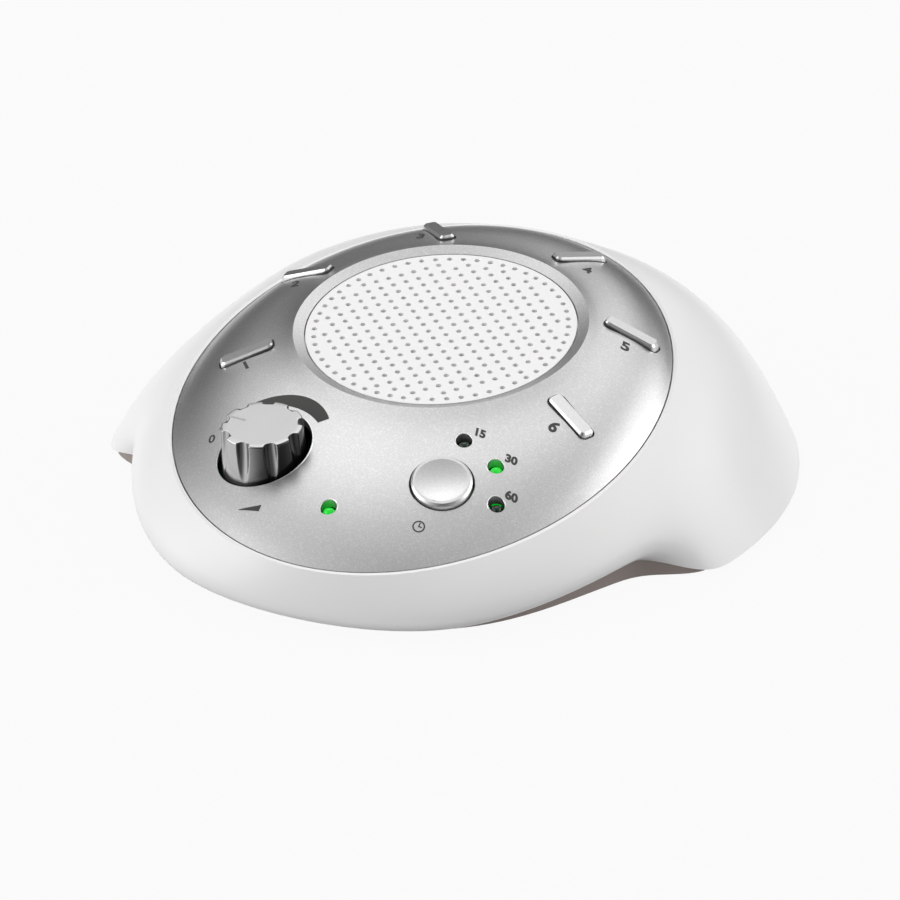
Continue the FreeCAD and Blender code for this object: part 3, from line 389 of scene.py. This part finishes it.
def turned_to(outline, x, y, turn=0.0):
    """An outline turned by an angle in degrees and moved to a spot."""
    c = math.cos(math.radians(turn))
    s = math.sin(math.radians(turn))
    return outline @ np.array([[c, s], [-s, c]]) + (x, y)


def lettering(text, x, y, size, turn=0.0, bold=0.09):
    """Text as a flat mesh, centred on a spot of the deck and draped on the panel's face."""
    size_per_height = 1.38
    curve = bpy.data.curves.new("mark_" + text, "FONT")
    curve.body = text
    curve.size = size * size_per_height
    curve.offset = bold
    curve.shear = -0.22
    curve.align_x = "CENTER"
    curve.align_y = "CENTER"
    curve.resolution_u = 6
    holder = bpy.data.objects.new("mark_" + text, curve)
    scene.collection.objects.link(holder)
    bpy.context.view_layer.update()
    shown = holder.evaluated_get(bpy.context.evaluated_depsgraph_get())
    mesh = bpy.data.meshes.new_from_object(shown)
    bpy.data.objects.remove(holder)
    flat = np.array([corner.co[:2] for corner in mesh.vertices])
    faces = [list(face.vertices) for face in mesh.polygons]
    draped = on_panel(turned_to(flat, x, y, turn))
    piece("mark_" + text, draped, faces, panel_ink, "face_panel")


lettering("0", -36.8, -49.5, 2.4)
for minutes, x, y in (("15", 24.9, -35.4), ("30", 34.2, -39.4), ("60", 37.9, -48.6)):
    lettering(minutes, x, y, 2.1, bold=0.15)
button_numbers = (
    ("1", -39.0, -25.0, 27),
    ("2", -42.2, 9.8, 0),
    ("3", -21.3, 37.6, 0),
    ("4", 22.9, 35.9, 0),
    ("5", 43.0, 9.6, 0),
    ("6", 39.2, -25.9, -28),
)
for number, x, y, turned in button_numbers:
    lettering(number, x, y, 3.2, turned, 0.16)


def flat_mark(name, outline, x, y, inner=None):
    """A filled anticlockwise outline, or a band between it and an inner one, draped on the
    panel's face. A filled one runs in to a tiny copy of itself round its middle."""
    core = 0.02
    if inner is None:
        inner = outline * core + outline.mean(axis=0) * (1 - core)
    spots = np.concatenate([outline, (outline + inner) / 2, inner]) + (x, y)
    piece(name, on_panel(spots), lattice(3, len(outline), False, True), panel_ink, "face_panel")


def circle(radius, steps):
    """Points at even angles round the origin, anticlockwise."""
    turn = np.arange(steps) * 2 * math.pi / steps
    return np.column_stack([np.cos(turn), np.sin(turn)]) * radius


def ramp_outline(half=2.6, foot=-0.75, start=-0.60, rise=1.5, steps=12):
    """A wedge that stands on a level line and rises evenly from left to right, anticlockwise."""
    share = np.linspace(0, 1, steps)
    slope = np.column_stack([half - 2 * half * share, start + rise - rise * share])
    level = np.column_stack([-half + 2 * half * share, foot + 0 * share])
    return np.concatenate([slope, level])


def hand_outline(length, half=0.14, tail=0.15):
    """A clock's hand that points along x, with a short tail behind its pivot, anticlockwise."""
    lower = [(-tail, -half), (length / 2, -half), (length, -half)]
    upper = [(length, half), (length / 2, half), (-tail, half)]
    return np.array(lower + upper)


clock_spot = (21.6, -64.4)
flat_mark("volume_ramp_mark", ramp_outline(), -18.6, -68.6)
flat_mark("clock_ring_mark", circle(1.45, 40), *clock_spot, circle(1.12, 40))
for name, length, turned in (("clock_minute_mark", 1.0, 90), ("clock_hour_mark", 0.75, 0)):
    flat_mark(name, turned_to(hand_outline(length), 0, 0, turned), *clock_spot)


# The rims: where the silver paint runs over the edge of a round opening in the panel it leaves a
# thin raised lip, bright on the side that faces the light. The lips round the knob's well and the
# lights get a lighter silver than the panel's, a painted highlight. The lips round the button
# slots and the timer hole are nearly black, painted shade for the dark gaps beside the buttons.
def hose(path, radius, sides=8, closed=False):
    """Points and faces of a tube round a path: each ring stands square to the path, and the
    first ring's direction is carried along it without twist. Open ends are capped."""
    path = np.asarray(path, float)
    if closed:
        ahead = np.roll(path, -1, axis=0) - np.roll(path, 1, axis=0)
    else:
        ahead = np.gradient(path, axis=0)
    ahead = ahead / np.linalg.norm(ahead, axis=1)[:, None]
    slanting = (0.31, 0.22, 0.92)
    side = np.cross(ahead[0], slanting)
    sides_at = []
    for way in ahead:
        side = side - way * np.dot(side, way)
        side = side / np.linalg.norm(side)
        sides_at.append(side)
    across = np.array(sides_at)[:, None, :]
    over = np.cross(ahead, across[:, 0])[:, None, :]
    turn = (np.arange(sides) * 2 * math.pi / sides)[None, :, None]
    ring = across * np.cos(turn) + over * np.sin(turn)
    points = path[:, None, :] + ring * radius
    faces = lattice(len(path), sides, closed, True).tolist()
    if not closed:
        last_ring = (len(path) - 1) * sides
        faces.append(list(range(sides))[::-1])
        faces.append([last_ring + k for k in range(sides)])
    return points.reshape(-1, 3), faces


def joined(parts):
    """Several (points, faces) as one."""
    points = []
    faces = []
    count = 0
    for some, quads in parts:
        points.append(some)
        faces += [[corner + count for corner in quad] for quad in quads]
        count += len(some)
    return np.concatenate(points), faces


def pill_outline(length, width, corner, per_corner=7):
    """A rounded rectangle's outline round the origin, anticlockwise: a quarter circle round the
    middle of each corner's rounding."""
    arcs = []
    for k, (sign_x, sign_y) in enumerate(((1, 1), (-1, 1), (-1, -1), (1, -1))):
        turn = np.radians(np.linspace(90 * k, 90 * k + 90, per_corner))
        middle = (sign_x * (length / 2 - corner), sign_y * (width / 2 - corner))
        arcs.append(np.column_stack([np.cos(turn), np.sin(turn)]) * corner + middle)
    return np.concatenate(arcs)


knob_spot = (-22.2, -52.0)
timer_spot = (22.2, -52.0)
button_spots = {
    "white_noise": (41.2, -20.7, -29.5),
    "rain": (42.0, 15.6, -2.0),
    "summer_night": (18.4, 41.2, 44.0),
    "thunder": (-41.2, -20.7, 209.5),
    "ocean": (-42.0, 15.6, 182.0),
    "brook": (-18.4, 41.2, 136.0),
}
light_spots = {
    "power_led": (0, -65.7),
    "timer_led_15": (22.2, -38.8),
    "timer_led_30": (31.53, -42.67),
    "timer_led_60": (35.4, -52.0),
}


def rim(outline, x, y, turn=0.0, thick=0.16):
    """A lip round an opening: a thin hose along its outline, a little sunk in the panel, whose
    height is read just outside the opening."""
    outside = 0.45
    sunk_share = 0.45
    swell = 1 + outside / np.linalg.norm(outline, axis=1)[:, None]
    heights = panel_heights(turned_to(outline * swell, x, y, turn)) - thick * sunk_share
    path = np.column_stack([turned_to(outline, x, y, turn), heights])
    return hose(deck_points(path), thick / 1000, closed=True)


# Painted shade: nearly black edges stand for the dark gaps round the buttons and the timer button.
gap_shade_edge = silver_paint("painted_gap_shade_edge", 0.07, 0.45, flake=0.03)
# Painted highlight: a lighter silver than the panel's paint makes the lips read bright.
highlight_rim_paint = silver_paint("silver_rim_painted_highlight", 0.86, 0.26, flake=0.05)
slot_outline = pill_outline(length=13.3, width=4.5, corner=1.55)
slot_edges = [rim(slot_outline, *spot) for spot in button_spots.values()]
piece("button_slot_edges", *joined(slot_edges), gap_shade_edge, "face_panel")
piece("timer_hole_edge", *rim(circle(7.42, 72), *timer_spot), gap_shade_edge, "face_panel")
piece("knob_well_rim", *rim(circle(11.32, 96), *knob_spot, thick=0.20), highlight_rim_paint, "face_panel")
light_rims = [rim(circle(2.04, 32), *spot) for spot in light_spots.values()]
piece("light_hole_rims", *joined(light_rims), highlight_rim_paint, "face_panel")


# The indicator lights: round green lenses on two leads. The power light and the 30 minute
# light are on; the other two are off and look almost black.
def lens_plastic(name, deep, bright, strength):
    """Clear green seen as a surface: a colour in soft clouds that also glows by some strength."""
    made, shader, point = surface(name, Roughness=0.08, Coat_Weight=0.2, Specular_IOR_Level=0.5)
    haze = noise(point, 1.1, 1.0)
    wire_up(shader, Base_Color=haze.blend(deep, bright), Emission_Color=haze.blend(deep, bright))
    shader.inputs["Emission Strength"].default_value = strength
    return made


lit_lens = lens_plastic("green_lens_lit", rgb(0, 150, 22), rgb(12, 190, 48), 0.90)
dress(lit_lens, "power_led", "timer_led_30")
# The two lenses that are off keep a faint painted glow.
dark_lens = lens_plastic("green_lens_dark", rgb(6, 24, 12), rgb(14, 48, 26), 0.02)
dress(dark_lens, "timer_led_15", "timer_led_60")


# The sound buttons and the timer button: moulded plastic caps with the panel's silver paint,
# each on a spring-loaded switch. The timer button's face is a shallow dish.
cap_paint = silver_paint("silver_cap_paint", 0.74, 0.30, flake=0.06)
dress(cap_paint, *[name + "_button" for name in button_spots])
dress(silver_paint("silver_timer_paint", 0.68, 0.36, flake=0.06), "timer_button")


# The volume knob: a hollow moulding in glossy silver-grey plastic with nine scooped flutes that
# run out before its foot. A hub inside grips the shaft, and a short line on top is the pointer.
def knob_gloss():
    """Silver-grey plastic in slow clouds, with painted shade: the face that turns towards the timer
    button is coloured nearly black, the metal's tone going over from light to dark with its direction."""
    gloss = {"Metallic": 0.9, "Coat_Weight": 0.3, "Coat_Roughness": 0.1}
    made, shader, point = surface("silver_knob_plastic_painted_shade", **gloss)
    fine = noise(point, 0.3, 2.0)
    clouds = noise(point, 6.0)
    tone = 0.5 + (fine - 0.5) * 0.2 + (clouds - 0.5) * 0.3
    # Painted shade: the more a face turns towards the timer button, the darker its colour.
    painted_shade_facing = point.node("ShaderNodeNewGeometry", out="Normal").dot((0.90, -0.43, 0))
    light_tone = tone.blend(grey(0.44), grey(0.52))
    painted_shade_tone = tone.blend(grey(0.035), grey(0.06))
    wire_up(
        shader,
        Base_Color=painted_shade_facing.step(0.25, 0.80).blend(light_tone, painted_shade_tone),
        Roughness=0.22 + 0.06 * fine,
        Normal=bump(fine, 0.002),
    )
    return made


knob_top = 1.4
knob_foot = -11.6
knob_radius = 9.5
foot_radius = 10.2
top_rounding = 0.45


def knob_section():
    """The knob's section from the middle of its top, round its foot, up inside, and down the
    hub to the bore's end: radius, height, and how much of the flutes each point feels."""
    middle = 0.001
    chamfer = 0.2
    cavity_radius = 7.3
    ceiling = -0.4
    hub_radius = 5.2
    hub_foot = -11.0
    bore_radius = 3.04
    bore_end = -2.85
    bore_lip = 0.16
    foot_wall = 0.3
    shoulder = knob_radius - top_rounding
    shoulder_height = knob_top - top_rounding
    rows = [(radius, knob_top, feel) for radius, feel in ((middle, 0), (4.0, 0), (7.0, 0), (8.0, 0.7))]
    for turn in np.radians(np.linspace(90, 0, 7)):
        out = top_rounding * math.cos(turn)
        up = top_rounding * math.sin(turn)
        rows.append((shoulder + out, shoulder_height + up, 1))
    for share in np.linspace(0.05, 1, 26):
        radius = knob_radius + (foot_radius - knob_radius) * share
        rows.append((radius, shoulder_height + (knob_foot - shoulder_height) * share, 1))
    rows += [
        (foot_radius - foot_wall, knob_foot, 0),
        (cavity_radius, knob_foot, 0),
        (cavity_radius, knob_foot + chamfer, 0),
        (cavity_radius, ceiling - chamfer, 0),
        (cavity_radius - chamfer, ceiling, 0),
        (hub_radius + chamfer, ceiling, 0),
        (hub_radius, ceiling - chamfer, 0),
        (hub_radius, hub_foot + chamfer, 0),
        (hub_radius - chamfer, hub_foot, 0),
        (bore_radius + bore_lip, hub_foot, 0),
        (bore_radius, hub_foot + chamfer, 0),
        (bore_radius, bore_end, 0),
        (middle, bore_end, 0),
    ]
    return np.array(rows)


def fluted_knob(steps=324, flutes=9):
    """The section carried round the axis. A flute is a scoop of round section whose own axis
    leans outwards as it goes down, and the radius takes the soft minimum of the wall's and the
    scoop's wherever the wall lies in a flute."""
    first_flute = math.radians(25.6)
    scoop_radius = 1.65
    scoop_top = 9.8
    scoop_lean = 1.75
    scoop_length = 9.6
    flute_half = 1.9
    soft = 0.16
    section = knob_section()
    radius = section[:, 0:1]
    height = section[:, 1:2]
    feel = section[:, 2:3]
    turn = np.linspace(0, 2 * math.pi, steps, endpoint=False)[None, :]
    spacing = 2 * math.pi / flutes
    off = (turn - first_flute + spacing / 2) % spacing - spacing / 2
    scoop_axis = scoop_top + scoop_lean * np.clip((knob_top - height) / scoop_length, 0, 1.4) ** 1.5
    beside = scoop_axis * np.sin(off)
    depth = np.sqrt(np.clip(scoop_radius ** 2 - beside ** 2, 0.0001, None))
    groove = scoop_axis * np.cos(off) - depth
    reach = np.clip(0.5 + 0.5 * (radius - groove) / soft, 0, 1)
    scooped = radius * (1 - reach) + groove * reach - soft * reach * (1 - reach)
    scooped = np.where(np.abs(beside) < flute_half, np.minimum(scooped, radius), radius)
    radius = radius + (scooped - radius) * feel
    points = np.stack([radius * np.cos(turn), radius * np.sin(turn), height + 0 * turn], axis=-1)
    points = deck_points(points.reshape(-1, 3) + (*knob_spot, 0))
    return points, lattice(len(section), steps, False, True)[:, ::-1]


knob = piece("fluted_knob", *fluted_knob(), knob_gloss(), "volume_knob", "volume")
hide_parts("volume_knob")


def knob_pointer():
    """A flat strip that starts off the knob's middle and runs out along one direction."""
    way = math.radians(176)
    half_width = 0.28
    along = np.linspace(4.4, 8.3, 12)[:, None]
    across = np.linspace(-half_width, half_width, 3)[None, :]
    x = along * math.cos(way) - across * math.sin(way)
    y = along * math.sin(way) + across * math.cos(way)
    strip = np.stack([x, y, knob_top + ink_thickness + 0 * x], axis=-1)
    return deck_points(strip.reshape(-1, 3) + (*knob_spot, 0)), lattice(12, 3)[:, ::-1]


pointer_ink = ink("pointer_ink", rgb(240, 240, 238))
piece("knob_pointer", *knob_pointer(), pointer_ink, "volume_knob", "volume")


# The base pan and the battery door: taupe mouldings with a fine spark-eroded face that looks
# matt. The pan is screwed up into the housing, and the door swings on two pins of its own.
def moulded(name, low, high, rough, grain_size=0.5, depth=0.012, **constants):
    """A moulded surface between two colours, in slow clouds and a fine grain that raises it."""
    made, shader, point = surface(name, **constants)
    grain = noise(point, grain_size, 3.0)
    clouds = noise(point, 30.0)
    wire_up(
        shader,
        Base_Color=(0.6 * clouds + 0.4 * grain).blend(low, high),
        Roughness=rough + 0.12 * (grain - 0.5),
        Normal=bump(grain, depth),
    )
    return made


def taupe(name, low, high, rough):
    """A moulded surface between two colours as seen on the screen."""
    return moulded(name, rgb(*low), rgb(*high), rough, Specular_IOR_Level=0.4)


pan_taupe = taupe("taupe_pan_plastic", (150, 138, 133), (166, 155, 150), 0.60)
dress(pan_taupe, "base_pan")
door_taupe = taupe("taupe_door_plastic", (148, 136, 131), (162, 151, 146), 0.57)
dress(door_taupe, "battery_door")


def pebble(middle, half, square=0.35, steps=20):
    """A bar with rounded edges, from its middle and half sizes in metres: a ball whose sines and
    cosines are raised to a power, which squares it as the power falls."""
    up = np.radians(np.linspace(-90, 90, steps // 2))[:, None]
    turn = np.linspace(0, 2 * math.pi, steps, endpoint=False)[None, :]

    def squared(value):
        return np.sign(value) * np.abs(value) ** square

    x = squared(np.cos(up)) * squared(np.cos(turn))
    y = squared(np.cos(up)) * squared(np.sin(turn))
    z = squared(np.sin(up)) + 0 * turn
    points = np.stack([x, y, z], axis=-1).reshape(-1, 3) * half + middle
    return points, lattice(steps // 2, steps, False, True).tolist()


bay_ceiling = 17.62
sign_rows = (-1.5, 38.0)
cells = ((-22.35, 1), (-7.45, -1), (7.45, 1), (22.35, -1))
bar_across = (0.0018, 0.0005, 0.0002)
bar_along = (0.0005, 0.0018, 0.0002)
signs = []
for x, way in cells:
    for y, plus in zip(sign_rows, (way < 0, way > 0)):
        spot = np.array([x, y, bay_ceiling]) / 1000
        signs.append(pebble(spot, bar_across))
        if plus:
            signs.append(pebble(spot, bar_along))
piece("cell_polarity_signs", *joined(signs), pan_taupe, "base_pan")

arrow_path = np.array([(-4.0, 31.0, 1.05), (0, 34.4, 1.05), (4.0, 31.0, 1.05)])
arrow = hose(arrow_path / 1000, 0.00035, 10)
piece("door_arrow", *arrow, door_taupe, "battery_door", "battery_cover")


# The feet: four round pads of soft black rubber, glued into shallow pockets of the pan so that
# the machine stays in its place on a table.
dress(moulded("foot_rubber", grey(0.012), grey(0.026), 0.82, 0.8, 0.02), "rubber_feet")


# The screws: zinc-plated steel with a cross recess and a coarse thread for plastic. Six hold
# the pan to the housing, five the board to the panel, and four clamp the speaker.
def metal(name, low, high, rough, grain_size=0.4, **constants):
    """Bare metal between two colours, in clouds and a fine grain that raises it a little."""
    made, shader, point = surface(name, Metallic=1.0, **constants)
    grain = noise(point, grain_size, 4.0)
    clouds = noise(point, 5.0)
    wire_up(
        shader,
        Base_Color=(0.5 * clouds + 0.5 * grain).blend(low, high),
        Roughness=rough + 0.15 * (grain - 0.5),
        Normal=bump(grain, 0.004),
    )
    return made


zinc = metal("zinc_plate", (0.50, 0.50, 0.52, 1), (0.68, 0.67, 0.64, 1), 0.30)


def screw(head_radius, head_height, shank_radius, length, pitch=1.3, around=44):
    """A screw that stands upright on its head, with the seat at height 0: points and faces. Its
    section is carried round the axis. Two crossed bars are sunk in the face, and the shank's
    radius falls between the turns of the thread by how far each height is from a crest."""
    rings_on_face = 14
    tip_length = 0.8
    slot_half = 0.16 * head_radius
    slot_reach = 0.60 * head_radius
    slot_depth = 0.55 * head_height
    thread_depth = 0.28
    face = [(r, -head_height) for r in np.linspace(0.01, 0.62 * head_radius, rings_on_face)]
    for share, height_share in ((0.80, 0.96), (0.93, 0.78), (1.0, 0.45)):
        face.append((share * head_radius, -height_share * head_height))
    face += [(head_radius, -0.05), (head_radius - 0.05, 0)]
    thread = [(shank_radius, z) for z in np.arange(0.02, length - tip_length, pitch / 6)]
    shares = (0.75, 0.5, 0.25, 0.01)
    tip = [(shank_radius * share, length - tip_length * share) for share in shares]
    rows = np.array(face + thread + tip)
    turn = np.linspace(0, 2 * math.pi, around, endpoint=False)[None, :]
    radius = rows[:, 0:1] + 0 * turn
    height = rows[:, 1:2] + 0 * turn
    arm = radius * np.minimum(np.abs(np.cos(turn)), np.abs(np.sin(turn)))
    in_slot = np.clip((slot_half - arm) / 0.12, 0, 1) * np.clip((slot_reach - radius) / 0.25, 0, 1)
    on_face = np.arange(len(rows))[:, None] < rings_on_face
    height = height + on_face * in_slot * slot_depth
    phase = (height / pitch - turn / (2 * math.pi)) % 1.0
    valley = thread_depth * np.clip(np.abs(phase - 0.5) * 3.2, 0, 1)
    on_thread = (height > 0.01) & (height < length - 0.7)
    radius = radius - on_thread * valley
    points = np.stack([radius * np.cos(turn), radius * np.sin(turn), height], axis=-1)
    return points.reshape(-1, 3), lattice(len(rows), around, False, True).tolist()


def screws_at(spots, shape, on_deck=True):
    """Copies of a screw at spots in millimetres, each turned by its own angle."""
    turn_between = 37
    copies = []
    points, faces = shape
    for k, spot in enumerate(spots):
        flat = turned_to(points[:, :2], 0, 0, turn_between * k)
        placed = np.column_stack([flat, points[:, 2]]) + spot
        copies.append((deck_points(placed) if on_deck else placed / 1000, faces))
    return joined(copies)


case_spots = [(side * x, y, 5.45) for x, y in ((64, -5), (34, 61), (40, -57)) for side in (1, -1)]
case_shape = screws_at(case_spots, screw(2.88, 1.78, 1.38, 9.45), on_deck=False)
case_screws = piece("cross_head_housing_screws", *case_shape, zinc, "housing_screws")
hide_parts("housing_screws")
board_spots = [(x, y, -16.65) for x, y in ((30, -36), (-30, -36), (41.5, -1), (-41.5, -1), (0, 42))]
board_shape = screws_at(board_spots, screw(2.28, 1.28, 1.18, 4.3, pitch=0.9))
board_screws = piece("cross_head_board_screws", *board_shape, zinc, "board_screws")
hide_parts("board_screws")
clamp_reach = 35.8
clamp_turns = np.radians((45, 135, 225, 315))
clamp_spots = [
    (clamp_reach * math.cos(turn), clamp_reach * math.sin(turn), -5.45) for turn in clamp_turns
]
clamp_shape = screws_at(clamp_spots, screw(3.28, 1.28, 1.18, 2.7, pitch=0.9))
clamp_screws = piece("cross_head_speaker_screws", *clamp_shape, zinc, "speaker_screws")
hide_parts("speaker_screws")


# The battery contacts: nickel-plated spring steel, plates slid into the ends of the bay and
# conical coils of wire welded to them where a cell's flat end rests.
nickel = metal("nickel_plate", (0.60, 0.58, 0.53, 1), (0.76, 0.74, 0.68, 1), 0.22)
dress(nickel, "contact_plates")


def coil(x, way, steps=110):
    """A cone of wire along y, from a contact plate towards the bay's middle: its radius shrinks
    and it moves on evenly while it turns three times."""
    cell_height = 9.5
    plate_front = -8.4
    plate_back = 47.6
    spring_length = 5.5
    wire_radius = 0.00034
    share = np.linspace(0, 1, steps)
    turn = share * 3 * 2 * math.pi
    radius = 3.58 - 1.2 * share
    along = (plate_front if way > 0 else plate_back) + way * spring_length * share
    path = [x + radius * np.cos(turn), along, cell_height - way * radius * np.sin(turn)]
    return hose(np.column_stack(path) / 1000, wire_radius)


coils = joined([coil(x, way) for x, way in cells])
wound = piece("wound_battery_springs", *coils, nickel, "battery_springs")
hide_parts("battery_springs")


# The power inlet: a black moulded body pushed through the pan's wall, with a nickel-plated pin
# in the middle of its bore.
dress(moulded("jack_plastic", grey(0.012), grey(0.02), 0.38, 0.6, 0.006), "dc_jack")
dress(nickel, "dc_jack_pin")


# The speaker: a pressed steel basket, a ring magnet, a black paper cone and a foam gasket,
# clamped under the panel by four washer-head screws. A pale cloth keeps dust off the cone.
def cloth_weave(name, low, high, pitch):
    """Cloth between two colours: the product of two sines, one along each thread, with fuzz."""
    made, shader, point = surface(name, Specular_IOR_Level=0.2)
    x = point.along(0) * (2 * math.pi / pitch)
    y = point.along(1) * (2 * math.pi / pitch)
    weave = 0.5 + 0.5 * (x.math("SINE") * y.math("SINE"))
    fuzz = noise(point, 0.5, 3.0)
    wire_up(
        shader,
        Base_Color=(0.6 * weave + 0.4 * fuzz).blend(low, high),
        Roughness=0.85 + 0.1 * fuzz,
        Normal=bump(weave, 0.04),
    )
    return made


def cloth_disc(steps=96):
    """A thin disc: its section, as radius and height, carried round the middle of the deck."""
    top = -1.66
    bottom = -1.90
    edge = [(30.0, top), (30.1, -1.72), (30.1, -1.85), (30.0, bottom)]
    over = [(0.001, top), (10.0, top), (20.0, top)]
    under = [(20.0, bottom), (10.0, bottom), (0.001, bottom)]
    section = np.array(over + edge + under)
    turn = np.linspace(0, 2 * math.pi, steps, endpoint=False)[None, :]
    radius = section[:, 0:1]
    height = section[:, 1:2] + 0 * turn
    points = np.stack([radius * np.cos(turn), radius * np.sin(turn), height], axis=-1)
    return deck_points(points.reshape(-1, 3)), lattice(len(section), steps, False, True)[:, ::-1]


dust_cloth = cloth_weave("pale_dust_cloth", grey(0.52), grey(0.66), pitch=0.35)
piece("dust_cloth", *cloth_disc(), dust_cloth, "speaker_grille")
dress(metal("pressed_steel", (0.22, 0.22, 0.23, 1), (0.34, 0.34, 0.34, 1), 0.40, 0.8), "speaker_frame")
dress(moulded("magnet_ferrite", grey(0.03), grey(0.075), 0.55, 0.3, 0.02), "speaker_magnet")
dress(moulded("cone_paper", grey(0.014), grey(0.034), 0.78, 0.25, 0.05), "speaker_cone")
dress(moulded("gasket_foam", grey(0.015), grey(0.04), 0.92, 0.4, 0.12), "speaker_gasket")


# The circuit board: glass laminate under green solder mask, with the copper tracks showing
# through it as paler lines, screwed to posts of the panel so that its switches meet the buttons.
def board_mask():
    """Dark green, paler over the tracks. The tracks follow the outlines of square cells: bands of
    the distance to the nearest cell's middle, repeated a few times within each cell."""
    made, shader, point = surface("green_solder_mask", Coat_Weight=0.25, Specular_IOR_Level=0.5)
    tracks_per_cell = 9.0
    pattern = {"Vector": point, "Scale": 0.22, "Randomness": 0.35}
    distance = point.node("ShaderNodeTexVoronoi", pattern, distance="CHEBYCHEV", feature="F1")
    tracks = (distance * tracks_per_cell).math("FRACT")
    copper = tracks.step(0.20, 0.26) * (1 - tracks.step(0.52, 0.58))
    weave = noise(point, 0.5, 3.0)
    dark_green = (0.006, 0.055, 0.018, 1)
    pale_green = (0.025, 0.15, 0.05, 1)
    wire_up(
        shader,
        Base_Color=(0.75 * copper + 0.25 * weave).blend(dark_green, pale_green),
        Roughness=0.30 + 0.15 * weave,
        Normal=bump(copper, 0.03),
    )
    return made


dress(board_mask(), "main_board")
black_part = moulded("black_part_plastic", grey(0.012), grey(0.022), 0.45, 0.3, 0.006)
dress(black_part, "tact_switches", "sound_chip")
plunger_plastic = moulded("plunger_plastic", grey(0.02), grey(0.04), 0.5, 0.3, 0.006)
dress(plunger_plastic, *[name + "_plunger" for name in (*button_spots, "timer")])
dress(moulded("capacitor_sleeve", rgb(18, 24, 60), rgb(26, 34, 76), 0.25, 1.0, 0.004), "capacitors")
dress(moulded("control_resin", rgb(70, 52, 36), rgb(92, 70, 48), 0.5, 0.5, 0.01), "volume_control")
dress(metal("turned_aluminium", (0.70, 0.70, 0.71, 1), (0.82, 0.82, 0.82, 1), 0.25, 0.3), "volume_shaft")

lead_offset = 1.27
board_front = -14.65
board_back = -17.0
solder = metal("solder", (0.55, 0.55, 0.56, 1), (0.74, 0.74, 0.74, 1), 0.20)
blob_half = (0.00075, 0.00075, 0.00045)
blobs = []
for x, y in light_spots.values():
    for side in (-1, 1):
        middle = deck_points([(x + side * lead_offset, y, board_back)])[0]
        blobs.append(pebble(middle, blob_half, 1.0, 14))
piece("solder_joints", *joined(blobs), solder, "main_board")

chip_spot = (0, -46.0)
legs_on_side = 7
legs = []
for side in range(4):
    for k in range(legs_on_side):
        y = k - legs_on_side // 2
        bends = np.array([(4.45, y, -14.3), (5.0, y, -14.3), (5.3, y, -14.85), (5.9, y, -14.9)])
        bends[:, :2] = turned_to(bends[:, :2], *chip_spot, 90 * side)
        legs.append(hose(deck_points(bends), 0.00017, 6))
piece("chip_legs", *joined(legs), solder, "main_board")

resistor_spots = (
    (-10, -47), (-10, -44), (10, -46), (10, -43), (-38, -20),
    (38, 8), (-38, 8), (-6, 48), (6, 48), (12, -52),
)
resistor_half = (0.0010, 0.0006, 0.0003)
resistors = []
for x, y in resistor_spots:
    middle = deck_points([(x, y, board_front)])[0]
    resistors.append(pebble(middle, resistor_half, 0.25, 16))
piece("chip_resistors", *joined(resistors), black_part, "main_board")


# The wires inside: thin stranded copper in plastic covers, soldered to the board. One red and
# black pair comes from the outer contacts of the battery bay and one from the power inlet.
def flowing(points, per_gap=10):
    """A smooth path through the points: between two of them, a cubic in t that leaves and arrives
    in the direction from the neighbour before to the neighbour after."""
    spots = np.asarray(points, float)
    ends = np.vstack([2 * spots[0] - spots[1], spots, 2 * spots[-1] - spots[-2]])
    path = []
    for a, b, c, d in zip(ends, ends[1:], ends[2:], ends[3:]):
        straight = c - a
        bend = 2 * a - 5 * b + 4 * c - d
        twist = 3 * b - a - 3 * c + d
        for t in np.linspace(0, 1, per_gap, endpoint=False):
            path.append(0.5 * (2 * b + straight * t + bend * t ** 2 + twist * t ** 3))
    return np.array(path + [spots[-1]])


def wires(name, colour, runs):
    """Round wires of one colour along smooth paths, in millimetres. The cover's pale tone is a
    quarter lighter than its dark one."""
    wire_radius = 0.00055
    lighter = tuple(1.25 * part for part in colour[:3]) + (1,)
    cover = moulded(name + "_cover", colour, lighter, 0.42, 1.0, 0.004)
    tubes = [hose(flowing(run) / 1000, wire_radius, 10) for run in runs]
    piece(name, *joined(tubes), cover, "main_board")


bay_run = np.array([
    (22.3, 50.9, 12.5), (22.6, 52.6, 16.0), (22.0, 52.0, 22.0), (20.0, 47.0, 26.4), (18.5, 42.5, 27.5),
])
inlet_run = np.array([
    (2.2, 59.0, 11.8), (3.0, 56.0, 14.5), (4.5, 54.0, 21.0), (6.0, 48.5, 26.5), (6.5, 44.0, 27.8),
])
other_side = (-1, 1, 1)
wires("red_wires", rgb(150, 20, 16), [bay_run, inlet_run])
wires("black_wires", rgb(22, 22, 24), [bay_run * other_side, inlet_run * other_side])
